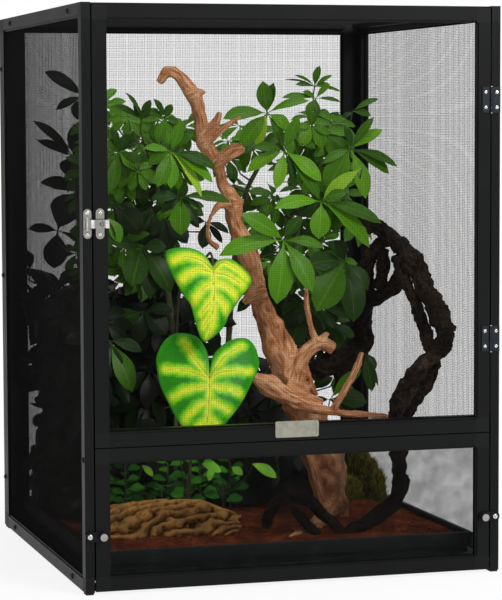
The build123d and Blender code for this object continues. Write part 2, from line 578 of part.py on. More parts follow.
# the two big leaves: hub of the veins, the way the face looks, and the outline round the hub
HEART_LEAVES = (
    ((-57, 117, 320), (0.05, -0.95, 0.30), (
        (0, 6), (12, 14), (21, 14), (30, 9), (43, -5), (44, -11), (32, -26), (14, -48), (0, -67), (-11, -74),
        (-19, -71), (-25, -49), (-35, -24), (-47, 4), (-50, 15), (-43, 27), (-33, 28), (-13, 23), (-3, 11))),
    ((-61, 121, 205), (-0.05, -0.92, 0.38), (
        (1, 6), (4, 18), (15, 34), (37, 45), (48, 44), (58, 25), (52, 2), (36, -25), (13, -52), (-2, -69),
        (-12, -78), (-22, -71), (-40, -39), (-53, -5), (-55, 25), (-42, 47), (-19, 51), (-2, 36), (0, 15))),
)
HEART_THICK = 2.0
with BuildPart() as heart_leaves:
    for (x, depth, z), look, outline in HEART_LEAVES:
        with BuildSketch(Plane(origin=(x, FRONT + depth, z), x_dir=(1, 0, 0), z_dir=look)):
            Polygon(*outline, align=None)
        extrude(amount=HEART_THICK)
keep(heart_leaves, "heart_leaves")

with BuildPart() as heart_stalks:
    limb(((-57, 116.5, 321, 1.3), (-50, 150, 336, 1.4), (-46, 190, 330, 1.5), (-58, 262, 280, 1.8),
          (-58, 282, 30, 2.2)))
    limb(((-61, 120.5, 206, 1.3), (-56, 150, 214, 1.4), (-58, 190, 190, 1.6), (-56, 236, 30, 1.8)))
keep(heart_stalks, "heart_stalks")

ROOT_LOW = 26.0  # stems start this high, in the soil
GROUND_STEM_R, GROUND_OVAL = 1.4, 0.6
# each tuft of low leaves: x, depth, z of its middle, half length and thickness
GROUND_LEAVES = (
    (-150, 262, 92, 26, 12), (-118, 276, 86, 24, 12), (-72, 262, 92, 22, 12), (-34, 262, 88, 20, 12),
    (2, 264, 96, 20, 12), (-150, 246, 58, 22, 12), (-100, 262, 52, 22, 12),
)
with BuildPart() as ground_cover:
    for x, depth, z, radius, tall in GROUND_LEAVES:
        with BuildSketch(Plane(origin=(x, FRONT + depth, z - tall / 2))):
            Ellipse(radius, GROUND_OVAL * radius)
        extrude(amount=tall)
keep(ground_cover, "ground_cover")

with BuildPart() as ground_stems:
    for x, depth, z, _, tall in GROUND_LEAVES:
        rod((x, FRONT + depth, ROOT_LOW), (0, 0, 1), GROUND_STEM_R, z - tall / 2 - ROOT_LOW)
keep(ground_stems, "ground_stems")

# each lump of moss: x, depth, z of its foot, radius and height
MOSS_LUMPS = ((164, 326, 26, 24, 26), (184, 358, 26, 13, 60), (-186, 396, 26, 11, 28))
MOSS_CROWN = 0.55
with BuildPart() as moss:
    for x, depth, z, radius, tall in MOSS_LUMPS:
        with BuildSketch(Plane(origin=(x, FRONT + depth, z))):
            Circle(radius)
        with BuildSketch(Plane(origin=(x, FRONT + depth, z + tall))):
            Circle(MOSS_CROWN * radius)
        loft()
keep(moss, "moss")

# the soil fills the tray round everything that stands in it
with BuildPart() as substrate:
    with BuildSketch(Plane.XY.offset(FLOOR_TOP + TRAY_WALL)):
        tray_inside()
    extrude(amount=SOIL_TOP - FLOOR_TOP - TRAY_WALL)
    for planted in (driftwood, liana, cork_bark, umbrella_stems, moss, heart_stalks, ground_stems):
        add(planted.part, mode=Mode.SUBTRACT)
keep(substrate, "substrate")


# ------------------------------------------------------------------ doors
DOOR_SPIGOT = 22.0  # a corner key reaches this far into each bar
SHANK_R = 2.0  # thumb screws
PLAY = 0.05  # round a pin or a shank in its hole


def door_bars(name, low, high):
    """The four bars and four corner keys of a door."""
    with BuildPart() as left_stile:
        with BuildSketch(bar_plane((-DOOR_HALF, FRONT, high - KEY), (1, 0, 0), (0, 1, 0))):
            bar_profile(STILE, DOOR_DEEP)
        extrude(amount=-(high - low - 2 * KEY))
    with BuildPart() as right_stile:
        mirror(left_stile.part, about=Plane.YZ)
    with BuildPart() as top_rail:
        with BuildSketch(bar_plane((-DOOR_HALF + KEY, FRONT, high), (0, 0, -1), (0, 1, 0))):
            bar_profile(STILE, DOOR_DEEP)
        extrude(amount=2 * (DOOR_HALF - KEY))
    with BuildPart() as bottom_rail:
        with BuildSketch(bar_plane((DOOR_HALF - KEY, FRONT, low), (0, 0, 1), (0, 1, 0))):
            bar_profile(STILE, DOOR_DEEP)
        extrude(amount=2 * (DOOR_HALF - KEY))
    with BuildPart() as corners:
        for z0, spigot_z, up in ((low, low + KEY, 1), (high - KEY, high - KEY, -1)):
            slab(-DOOR_HALF, -DOOR_HALF + KEY, FRONT, FRONT + DOOR_DEEP, z0, z0 + KEY)
            with BuildSketch(Plane(origin=(-DOOR_HALF, FRONT, spigot_z))):
                spigot_profile(STILE, DOOR_DEEP)
            extrude(amount=up * DOOR_SPIGOT)
            inner = z0 + STILE if up > 0 else z0
            slab(-DOOR_HALF + STILE, -DOOR_HALF + KEY, FRONT + NET_BACK, FRONT + DOOR_DEEP,
                 inner, inner + LIP, mode=Mode.SUBTRACT)
            rail_z = low if up > 0 else high
            with BuildSketch(bar_plane((-DOOR_HALF + KEY, FRONT, rail_z), (0, 0, up), (0, 1, 0))):
                spigot_profile(STILE, DOOR_DEEP)
            extrude(amount=-up * DOOR_SPIGOT)
        mirror(corners.part, about=Plane.YZ)
        if low == LOWER_LOW:
            for side in (-1, 1):
                rod((side * DOOR_HALF, FRONT + PIVOT_DEPTH, PIVOT_Z), (-side, 0, 0), PIVOT_R + PLAY,
                    PIVOT_BORE, mode=Mode.SUBTRACT)
    if low == LOWER_LOW:
        with BuildPart() as left_stile_drilled:
            add(left_stile.part)
            rod((-STILE_MID, FRONT, CLIP_Z), (0, 1, 0), SHANK_R + PLAY, DOOR_DEEP, mode=Mode.SUBTRACT)
        with BuildPart() as right_stile_drilled:
            mirror(left_stile_drilled.part, about=Plane.YZ)
        left_stile, right_stile = left_stile_drilled, right_stile_drilled
    keep(left_stile, f"{name}_left_stile")
    keep(right_stile, f"{name}_right_stile")
    keep(top_rail, f"{name}_top_rail")
    keep(bottom_rail, f"{name}_bottom_rail")
    keep(corners, f"{name}_corner_keys")


door_bars("upper_door", UPPER_LOW, UPPER_HIGH)
door_bars("lower_door", LOWER_LOW, LOWER_HIGH)

OPENING_HALF = DOOR_HALF - STILE
with BuildPart() as upper_door_screen:
    net(Plane(origin=(-OPENING_HALF, FRONT + NET_BACK, UPPER_HIGH - STILE), x_dir=(1, 0, 0), z_dir=(0, 1, 0)),
        2 * OPENING_HALF, UPPER_HIGH - UPPER_LOW - 2 * STILE, DOOR_ACROSS, DOOR_UPWARD)
keep(upper_door_screen, "upper_door_screen")

with BuildPart() as upper_door_bead:
    bead(Plane(origin=(-OPENING_HALF, FRONT + BEAD_BACK, UPPER_HIGH - STILE),
               x_dir=(1, 0, 0), z_dir=(0, 1, 0)),
         2 * OPENING_HALF, UPPER_HIGH - UPPER_LOW - 2 * STILE)
keep(upper_door_bead, "upper_door_bead")

with BuildPart() as window_pane:
    slab(-OPENING_HALF, OPENING_HALF, FRONT + NET_BACK, FRONT + NET_BACK + PANE_THICK,
         LOWER_LOW + STILE, LOWER_HIGH - STILE)
keep(window_pane, "window_pane")

with BuildPart() as window_gasket:
    bead(Plane(origin=(-OPENING_HALF, FRONT + NET_BACK + PANE_THICK, LOWER_HIGH - STILE),
               x_dir=(1, 0, 0), z_dir=(0, 1, 0)),
         2 * OPENING_HALF, LOWER_HIGH - LOWER_LOW - 2 * STILE)
keep(window_gasket, "window_gasket")



def front_plane(x, z, out=0.0):
    """A plane parallel to the front face, that far out of it, facing the viewer."""
    return Plane(origin=(x, FRONT - out, z), x_dir=(1, 0, 0), z_dir=(0, -1, 0))


BADGE_WIDE, BADGE_TALL, BADGE_THICK = 47.0, 17.0, 1.2
BADGE_Z, BADGE_ROUND = 162.0, 2.0
BADGE_RIM, BADGE_SUNK, FIELD_ROUND = 2.0, 0.5, 1.2  # a raised rim round a bare field
with BuildPart() as badge_plate:
    with BuildSketch(front_plane(0, BADGE_Z)):
        RectangleRounded(BADGE_WIDE, BADGE_TALL, BADGE_ROUND)
    extrude(amount=BADGE_THICK)
    with BuildSketch(front_plane(0, BADGE_Z, BADGE_THICK)):
        RectangleRounded(BADGE_WIDE - 2 * BADGE_RIM, BADGE_TALL - 2 * BADGE_RIM, FIELD_ROUND)
    extrude(amount=-BADGE_SUNK, mode=Mode.SUBTRACT)
keep(badge_plate, "badge_plate")

# ------------------------------------------------------------------ door hinges
KNUCKLES = 5
KNUCKLE_TALL = HINGE_TALL / KNUCKLES
KNUCKLE_CLEAR = 0.3  # between a leaf and the knuckle line
KNUCKLE_GAP = 0.1  # at both ends of a knuckle


def hinge_leaf(centre_z, side, first):
    """One leaf on the front face, its knuckles on the pin's line; side is -1 on the door."""
    low = centre_z - HINGE_TALL / 2
    near, far = KNUCKLE_R + KNUCKLE_CLEAR, KNUCKLE_R + HINGE_LEAF
    x0, x1 = sorted((KNUCKLE_X + side * near, KNUCKLE_X + side * far))
    slab(x0, x1, FRONT - HINGE_THICK, FRONT, low, low + HINGE_TALL)
    for number in range(first, KNUCKLES, 2):
        z0 = low + number * KNUCKLE_TALL + KNUCKLE_GAP
        tall = KNUCKLE_TALL - 2 * KNUCKLE_GAP
        x0, x1 = sorted((KNUCKLE_X, KNUCKLE_X + side * (near + KNUCKLE_GAP)))
        slab(x0, x1, FRONT - HINGE_THICK, FRONT - 2 * KNUCKLE_GAP, z0, z0 + tall)
        rod((KNUCKLE_X, KNUCKLE_Y, z0), (0, 0, 1), KNUCKLE_R, tall)
        rod((KNUCKLE_X, KNUCKLE_Y, z0), (0, 0, 1), PIN_R + PLAY, tall, mode=Mode.SUBTRACT)


with BuildPart() as hinge_post_leaves:
    for height in HINGE_HEIGHTS:
        hinge_leaf(height, 1, 0)
keep(hinge_post_leaves, "hinge_post_leaves")

with BuildPart() as hinge_door_leaves:
    for height in HINGE_HEIGHTS:
        hinge_leaf(height, -1, 1)
keep(hinge_door_leaves, "hinge_door_leaves")


def dome_head(x, z, face_out, radius=2.1, tall=1.2):
    """A round screw head that stands on a plate of the front."""
    with Locations(Plane(origin=(x, FRONT - face_out, z), z_dir=(0, -1, 0))):
        Cone(radius, 0.55 * radius, tall, align=(Align.CENTER, Align.CENTER, Align.MIN))


# ------------------------------------------------------------------ draw latch
LATCH_X, LATCH_Y = -CLIP_PIVOT, FRONT - 4.6  # the lever's upright pivot
STRIKE_X = -STILE_MID
PLATE_THICK, BASE_PLATE_WIDE, STRIKE_PLATE_WIDE = 1.2, 8.4, 8.8
EAR_OUT, EAR_THICK, EAR_R = 6.0, 1.6, 2.6
LATCH_PIN_R, LEVER_EYE_R = 1.0, 2.4
LEVER_HALF, LEVER_THICK = 4.2, 1.4
HASP_WIDE, HASP_TALL, HASP_LONG = 2.6, 2.4, 9.4  # the nose of the strike
HASP_HOLE = (5.0, 3.8)  # the window in the lever that drops over it
with BuildPart() as latch_base:
    with BuildSketch(front_plane(LATCH_X, LATCH_Z)):
        SlotOverall(LATCH_TALL, BASE_PLATE_WIDE, rotation=90)
    extrude(amount=PLATE_THICK)
    for ear_z in (LATCH_Z - EAR_OUT, LATCH_Z + EAR_OUT - EAR_THICK):
        with BuildSketch(Plane.XY.offset(ear_z)):
            with Locations((LATCH_X, LATCH_Y)):
                Circle(EAR_R)
            with Locations((LATCH_X, (LATCH_Y + FRONT) / 2)):
                Rectangle(2 * EAR_R, FRONT - LATCH_Y)
        extrude(amount=EAR_THICK)
    rod((LATCH_X, LATCH_Y, LATCH_Z - EAR_OUT), (0, 0, 1), LATCH_PIN_R + PLAY, 2 * EAR_OUT, mode=Mode.SUBTRACT)
keep(latch_base, "latch_base")

with BuildPart() as latch_lever:
    with BuildSketch(Plane.XY.offset(LATCH_Z - LEVER_HALF)):
        with BuildLine() as strap:
            bow = ThreePointArc((LATCH_X + 1.2, LATCH_Y - 1.3), (LATCH_X + 6.5, LATCH_Y - 5.2),
                                (LATCH_X + 13.0, LATCH_Y - 4.6))
            dip = ThreePointArc(bow @ 1, (LATCH_X + 15.6, LATCH_Y - 3.6), (LATCH_X + 18.0, LATCH_Y - 4.4))
            Line(dip @ 1, (LATCH_X + 20.6, LATCH_Y - 6.6))
        trace(line_width=LEVER_THICK)
        with Locations((LATCH_X, LATCH_Y)):
            Circle(LEVER_EYE_R)
            Circle(LATCH_PIN_R + PLAY, mode=Mode.SUBTRACT)
    extrude(amount=2 * LEVER_HALF)
    with BuildSketch(front_plane(STRIKE_X, LATCH_Z)):
        RectangleRounded(*HASP_HOLE, 0.8)
    extrude(amount=HARDWARE_OUT + LEVER_THICK, mode=Mode.SUBTRACT)
keep(latch_lever, "latch_lever")

with BuildPart() as latch_strike:
    with BuildSketch(front_plane(STRIKE_X, LATCH_Z)):
        SlotOverall(LATCH_TALL + 1.0, STRIKE_PLATE_WIDE, rotation=90)
    extrude(amount=PLATE_THICK)
    with BuildSketch(front_plane(STRIKE_X, LATCH_Z, PLATE_THICK)):
        RectangleRounded(HASP_WIDE, HASP_TALL, 0.6)
    extrude(amount=HASP_LONG)
keep(latch_strike, "latch_strike")

# ------------------------------------------------------------------ turn clips and thumb screws
CLIP_REACH = CLIP_PIVOT - STILE_MID  # pivot to thumb screw
SLOT_SWING = 50.0  # the slot follows the screw until it has left the clip
CLIP_PAST = 1.0  # the round end of a clip is centred this far past the screw
CLIP_END_R = 4.9
RIVET_R, RIVET_HEAD_R, RIVET_HEAD_TALL = 1.5, 2.8, 1.0
RIVET_PLAY = 0.2  # under a rivet's head, and under a knob
with BuildPart() as turn_clip_left:
    with BuildSketch(front_plane(-CLIP_PIVOT, CLIP_Z, CLIP_GAP)):
        with Locations(((CLIP_REACH + CLIP_PAST) / 2, 0)):
            SlotOverall(CLIP_REACH + CLIP_PAST + 2 * CLIP_END_R, CLIP_TALL)
        with BuildLine(mode=Mode.PRIVATE) as swing:
            CenterArc((0, 0), CLIP_REACH, -SLOT_SWING, SLOT_SWING)
        SlotArc(swing.wires()[0], 2 * SHANK_R + 0.6, mode=Mode.SUBTRACT)
        Circle(RIVET_R + 0.1, mode=Mode.SUBTRACT)
    extrude(amount=CLIP_THICK)
keep(turn_clip_left, "turn_clip_left")

with BuildPart() as turn_clip_right:
    mirror(turn_clip_left.part, about=Plane.YZ)
keep(turn_clip_right, "turn_clip_right")

KNOB_R, KNOB_LONG = 3.9, 6.0
GRIPS, GRIP_R, GRIP_OUT = 18, 0.4, 0.15  # flutes round the knob, centred just outside it
KNOB_FOOT = CLIP_GAP + CLIP_THICK + RIVET_PLAY
with BuildPart() as thumb_screw_left:
    with BuildSketch(front_plane(-STILE_MID, CLIP_Z, KNOB_FOOT)):
        Circle(KNOB_R)
        with PolarLocations(KNOB_R + GRIP_OUT, GRIPS):
            Circle(GRIP_R, mode=Mode.SUBTRACT)
    extrude(amount=KNOB_LONG)
    rod((-STILE_MID, FRONT - KNOB_FOOT, CLIP_Z), (0, 1, 0), SHANK_R, KNOB_FOOT + DOOR_DEEP)
keep(thumb_screw_left, "thumb_screw_left")

with BuildPart() as thumb_screw_right:
    mirror(thumb_screw_left.part, about=Plane.YZ)
keep(thumb_screw_right, "thumb_screw_right")

# ------------------------------------------------------------------ pins, rivets and front screws
PIN_HEAD_TALL, PIN_PLAY = 0.7, 0.1
HINGE_PIN_HEAD_R, LATCH_PIN_HEAD_R = 1.3, 1.6


def headed_pin(x, y, z, half, radius, head_radius):
    """An upright pin with a flat head at both ends, half as long as it is between them."""
    rod((x, y, z - half - PIN_PLAY), (0, 0, 1), radius, 2 * (half + PIN_PLAY))
    for end in (-1, 1):
        rod((x, y, z + end * (half + PIN_PLAY)), (0, 0, end), head_radius, PIN_HEAD_TALL)


with BuildPart() as pivot_pins:
    for height in HINGE_HEIGHTS:
        headed_pin(KNUCKLE_X, KNUCKLE_Y, height, HINGE_TALL / 2, PIN_R, HINGE_PIN_HEAD_R)
    headed_pin(LATCH_X, LATCH_Y, LATCH_Z, EAR_OUT, LATCH_PIN_R, LATCH_PIN_HEAD_R)
    for side in (-1, 1):
        rod((side * (INNER + PIVOT_IN), FRONT + PIVOT_DEPTH, PIVOT_Z), (-side, 0, 0), PIVOT_R,
            PIVOT_IN + DOOR_GAP + PIVOT_REACH)
keep(pivot_pins, "pivot_pins")

HINGE_SCREW_IN = KNUCKLE_R + KNUCKLE_CLEAR + HINGE_LEAF * 0.52
HINGE_SCREW_RISES = (-8.0, 8.0)
LATCH_SCREW_RISE = 11.0
with BuildPart() as cabinet_fasteners:
    for height in HINGE_HEIGHTS:
        for rise in HINGE_SCREW_RISES:
            dome_head(KNUCKLE_X + HINGE_SCREW_IN - KNUCKLE_CLEAR, height + rise, HINGE_THICK)
    for rise in (-LATCH_SCREW_RISE, LATCH_SCREW_RISE):
        dome_head(LATCH_X, LATCH_Z + rise, PLATE_THICK, radius=2.6, tall=1.6)
    for side in (-1, 1):
        rod((side * CLIP_PIVOT, FRONT, CLIP_Z), (0, -1, 0), RIVET_R, KNOB_FOOT)
        rod((side * CLIP_PIVOT, FRONT - KNOB_FOOT, CLIP_Z), (0, -1, 0), RIVET_HEAD_R, RIVET_HEAD_TALL)
keep(cabinet_fasteners, "cabinet_fasteners")

with BuildPart() as door_fasteners:
    for height in HINGE_HEIGHTS:
        for rise in HINGE_SCREW_RISES:
            dome_head(KNUCKLE_X - HINGE_SCREW_IN, height + rise, HINGE_THICK)
    for rise in (-LATCH_SCREW_RISE, LATCH_SCREW_RISE):
        dome_head(STRIKE_X, LATCH_Z + rise, PLATE_THICK, radius=2.4, tall=1.4)
keep(door_fasteners, "door_fasteners")
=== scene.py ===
"""Looks of a planted screen terrarium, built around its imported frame, in metres.

X runs to the right, Y to the back and Z up. Depths are counted from the cabinet's front plane.
"""

import logging
import math
import random
from dataclasses import dataclass, field
from enum import Enum

import bpy
from mathutils import Matrix, Vector, kdtree, noise


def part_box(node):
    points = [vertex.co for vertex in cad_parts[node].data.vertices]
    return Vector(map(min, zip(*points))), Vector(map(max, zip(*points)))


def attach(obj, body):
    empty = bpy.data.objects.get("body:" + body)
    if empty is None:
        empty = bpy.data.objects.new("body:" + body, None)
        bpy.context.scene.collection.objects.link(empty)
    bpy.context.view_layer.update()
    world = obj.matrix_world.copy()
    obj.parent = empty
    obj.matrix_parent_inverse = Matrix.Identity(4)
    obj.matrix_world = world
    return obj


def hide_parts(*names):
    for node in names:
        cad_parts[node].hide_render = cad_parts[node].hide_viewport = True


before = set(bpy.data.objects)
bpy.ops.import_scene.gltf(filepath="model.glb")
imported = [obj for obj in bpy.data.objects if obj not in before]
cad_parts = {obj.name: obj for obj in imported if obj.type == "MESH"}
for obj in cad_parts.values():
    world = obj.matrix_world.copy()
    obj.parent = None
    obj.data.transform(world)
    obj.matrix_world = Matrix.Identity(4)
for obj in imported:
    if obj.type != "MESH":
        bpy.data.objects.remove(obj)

log = logging.getLogger("terrarium")

MM = 0.001
FRONT = -0.219  # the cabinet's front plane
GOLDEN = math.radians(137.5)

Point = tuple[float, float, float]
Limb = tuple[tuple[float, float, float, float], ...]


def spot(x: float, depth: float, z: float) -> Vector:
    """A place in the frame from millimetres: right of the middle, behind the front plane, up."""
    return Vector((x * MM, FRONT + depth * MM, z * MM))


def linear(code: str) -> tuple[float, float, float, float]:
    """Turn an sRGB hex colour to linear light.

    Args:
        code: six hex digits with a leading hash.

    Returns:
        Red, green, blue and an alpha of one.
    """
    parts = [int(code[place : place + 2], 16) / 255 for place in (1, 3, 5)]
    bright = [part / 12.92 if part <= 0.04045 else ((part + 0.055) / 1.055) ** 2.4 for part in parts]
    return bright[0], bright[1], bright[2], 1.0


def per_metre(size_mm: float) -> float:
    """The texture scale at which one feature of a pattern is that many millimetres."""
    return 1.0 / (size_mm * MM)


# ---------------------------------------------------------------------------- materials
def add_node(tree: bpy.types.NodeTree, kind: str, settings: dict | None = None,
             links: dict | None = None) -> bpy.types.Node:
    """Add a shader node.

    Args:
        tree: the material's node tree.
        kind: the node's type name.
        settings: values by socket name, socket number or property name; "stops" fills a colour ramp.
        links: sockets to connect, by input name or number.

    Returns:
        The new node.
    """
    node = tree.nodes.new(kind)
    for key, value in (settings or {}).items():
        if key == "stops":
            ramp = node.color_ramp
            while len(ramp.elements) < len(value):
                ramp.elements.new(0.5)
            for element, (place, code) in zip(ramp.elements, value):
                element.position, element.color = place, linear(code)
        elif isinstance(key, int) or key in node.inputs:
            node.inputs[key].default_value = value
        else:
            setattr(node, key, value)
    for key, socket in (links or {}).items():
        tree.links.new(socket, node.inputs[key])
    return node


@dataclass(frozen=True)
class Finish:
    """A surface: what it is made of, its colour and how it shines."""

    name: str
    colour: str
    roughness: float
    metallic: float = 0.0
    extras: tuple[tuple[str, float], ...] = ()

    def material(self) -> bpy.types.Material:
        """The material, made the first time it is asked for."""
        found = bpy.data.materials.get(self.name)
        if found:
            return found
        made = bpy.data.materials.new(self.name)
        made.use_nodes = True
        tree = made.node_tree
        tree.nodes.clear()
        shader = add_node(tree, "ShaderNodeBsdfPrincipled", {
            "Base Color": linear(self.colour), "Roughness": self.roughness, "Metallic": self.metallic,
            **dict(self.extras)})
        add_node(tree, "ShaderNodeOutputMaterial", links={"Surface": shader.outputs[0]})
        self.pattern(tree, shader)
        return made

    def pattern(self, tree: bpy.types.NodeTree, shader: bpy.types.Node) -> None:
        """Draw the surface's own pattern on the shader; a plain finish has none."""

    def place(self, tree: bpy.types.NodeTree) -> bpy.types.NodeSocket:
        """The point being shaded, in the piece's own metres."""
        return add_node(tree, "ShaderNodeTexCoord").outputs["Object"]

    def bump(self, tree: bpy.types.NodeTree, shader: bpy.types.Node, height: bpy.types.NodeSocket,
             deep_mm: float, strength: float = 1.0) -> None:
        """Raise the surface by a height from 0 to 1 that stands for that many millimetres."""
        raised = add_node(tree, "ShaderNodeBump", {"Strength": strength, "Distance": deep_mm * MM},
                          {"Height": height})
        tree.links.new(raised.outputs[0], shader.inputs["Normal"])


@dataclass(frozen=True)
class ClothedMetal(Finish):
    """Extruded or pressed metal under a dark satin skin: faint draw lines and a little uneven gloss."""

    grain_mm: float = 0.5
    run_mm: float = 60.0
    tint: str = "#2a2d2d"
    spread: float = 0.06

    def pattern(self, tree: bpy.types.NodeTree, shader: bpy.types.Node) -> None:
        """Fine speckle of the etched skin, and broad patches where hands have polished it."""
        here = self.place(tree)
        speck = add_node(tree, "ShaderNodeTexNoise", {"Scale": per_metre(self.grain_mm), "Detail": 2.0},
                         {"Vector": here})
        patch = add_node(tree, "ShaderNodeTexNoise", {"Scale": per_metre(self.run_mm), "Detail": 3.0},
                         {"Vector": here})
        shade = add_node(tree, "ShaderNodeMix", {"data_type": "RGBA", 6: linear(self.colour),
                                                 7: linear(self.tint)}, {0: patch.outputs[0]})
        gloss = add_node(tree, "ShaderNodeMapRange", {3: self.roughness - self.spread,
                                                      4: self.roughness + self.spread}, {0: patch.outputs[0]})
        tree.links.new(shade.outputs[2], shader.inputs["Base Color"])
        tree.links.new(gloss.outputs[0], shader.inputs["Roughness"])
        self.bump(tree, shader, speck.outputs[0], 0.02, 0.35)


@dataclass(frozen=True)
class MouldedPlastic(Finish):
    """Injection-moulded nylon or ABS with the fine grain of its mould."""

    grain_mm: float = 0.7
    deep_mm: float = 0.08
    cloud_mm: float = 25.0
    tint: str = "#2c2e2f"

    def pattern(self, tree: bpy.types.NodeTree, shader: bpy.types.Node) -> None:
        """Pebbled grain whose tops are painted a shade lighter: a painted highlight."""
        here = self.place(tree)
        pebble = add_node(tree, "ShaderNodeTexVoronoi", {"Scale": per_metre(self.grain_mm)}, {"Vector": here})
        cloud = add_node(tree, "ShaderNodeTexNoise", {"Scale": per_metre(self.cloud_mm), "Detail": 4.0},
                         {"Vector": here})
        # the grain's tops are mixed toward the lighter tint: a painted highlight on the raised grain
        tops = add_node(tree, "ShaderNodeMapRange", {1: 0.0, 2: 0.7, 3: 1.0, 4: 0.0}, {0: pebble.outputs[0]})
        blend = add_node(tree, "ShaderNodeMath", {"operation": "MULTIPLY"}, {0: tops.outputs[0],
                                                                            1: cloud.outputs[0]})
        shade = add_node(tree, "ShaderNodeMix", {"data_type": "RGBA", 6: linear(self.colour),
                                                 7: linear(self.tint)}, {0: blend.outputs[0]})
        tree.links.new(shade.outputs[2], shader.inputs["Base Color"])
        self.bump(tree, shader, tops.outputs[0], self.deep_mm)


@dataclass(frozen=True)
class PlatedSteel(Finish):
    """Plated or polished steel: bright, with hair-thin scratches that widen the highlight."""

    scratch_mm: float = 0.35
    dull_mm: float = 6.0
    tint: str = "#8c8f90"

    def pattern(self, tree: bpy.types.NodeTree, shader: bpy.types.Node) -> None:
        """Scratches stretched along the height, and dull patches in the plating."""
        here = self.place(tree)
        stretched = add_node(tree, "ShaderNodeMapping", {"Scale": (1.0, 1.0, 0.08)}, {"Vector": here})
        hair = add_node(tree, "ShaderNodeTexNoise", {"Scale": per_metre(self.scratch_mm), "Detail": 2.0},
                        {"Vector": stretched.outputs[0]})
        dull = add_node(tree, "ShaderNodeTexNoise", {"Scale": per_metre(self.dull_mm), "Detail": 3.0},
                        {"Vector": here})
        gloss = add_node(tree, "ShaderNodeMapRange", {1: 0.3, 2: 0.75, 3: self.roughness,
                                                      4: self.roughness + 0.14}, {0: dull.outputs[0]})
        shade = add_node(tree, "ShaderNodeMix", {"data_type": "RGBA", 6: linear(self.colour),
                                                 7: linear(self.tint)}, {0: dull.outputs[0]})
        tree.links.new(shade.outputs[2], shader.inputs["Base Color"])
        tree.links.new(gloss.outputs[0], shader.inputs["Roughness"])
        self.bump(tree, shader, hair.outputs[0], 0.01, 0.3)


@dataclass(frozen=True)
class ClearPane(Finish):
    """Polished acrylic sheet: nearly all see-through, with a near-black film over it that dims what lies
    behind it.
    """

    clear: float = 0.06  # how much of what lies behind it the sheet hides
    film_mm: float = 18.0

    def pattern(self, tree: bpy.types.NodeTree, shader: bpy.types.Node) -> None:
        """A little more film in soft, uneven patches."""
        film = add_node(tree, "ShaderNodeTexNoise", {"Scale": per_metre(self.film_mm), "Detail": 5.0},
                        {"Vector": self.place(tree)})
        veil = add_node(tree, "ShaderNodeMapRange", {1: 0.35, 2: 0.75, 3: self.clear * 0.7,
                                                     4: self.clear * 1.6}, {0: film.outputs[0]})
        tree.links.new(veil.outputs[0], shader.inputs["Alpha"])


@dataclass(frozen=True)
class Blade(Finish):
    """A leaf: waxy skin, a fine paler midrib, and a tone from leaf to leaf, partly its own colour and partly
    painted light and shade.

    The mesh carries "across" (0 on the midrib, 1 on the margin) and "tone".
    """

    shade: str = "#060a05"
    dusk: str = "#24470a"
    young_and_lit: str = "#a9cf3a"
    rib: str = "#a5bf45"
    vein_mm: float = 3.0

    def pattern(self, tree: bpy.types.NodeTree, shader: bpy.types.Node) -> None:
        """Tone by leaf, which carries painted light and shade as well as the leaf's own colour, mottling
        within it, and a pale narrow midrib.
        """
        here = self.place(tree)
        tone = add_node(tree, "ShaderNodeAttribute", {"attribute_name": "tone"})
        across = add_node(tree, "ShaderNodeAttribute", {"attribute_name": "across"})
        mottle = add_node(tree, "ShaderNodeTexNoise", {"Scale": per_metre(self.vein_mm), "Detail": 3.0},
                          {"Vector": here})
        mixed = add_node(tree, "ShaderNodeMath", {"operation": "MULTIPLY_ADD", 1: 0.12},
                         {0: mottle.outputs[0], 2: tone.outputs["Fac"]})
        # the ramp's low stops paint shade on leaves given a low tone; its top stop is young growth with
        # painted light
        body = add_node(tree, "ShaderNodeValToRGB", {"stops": (
            (0.06, self.shade), (0.34, self.dusk), (0.66, self.colour), (0.98, self.young_and_lit))},
            {0: mixed.outputs[0]})
        thin = add_node(tree, "ShaderNodeMapRange", {1: 0.0, 2: 0.10, 3: 0.45, 4: 0.0},
                        {0: across.outputs["Fac"]})
        faint = add_node(tree, "ShaderNodeMath", {"operation": "MULTIPLY"},
                         {0: thin.outputs[0], 1: tone.outputs["Fac"]})
        ribbed = add_node(tree, "ShaderNodeMix", {"data_type": "RGBA", 7: linear(self.rib)},
                          {0: faint.outputs[0], 6: body.outputs[0]})
        tree.links.new(ribbed.outputs[2], shader.inputs["Base Color"])
        self.bump(tree, shader, mottle.outputs[0], 0.2, 0.4)


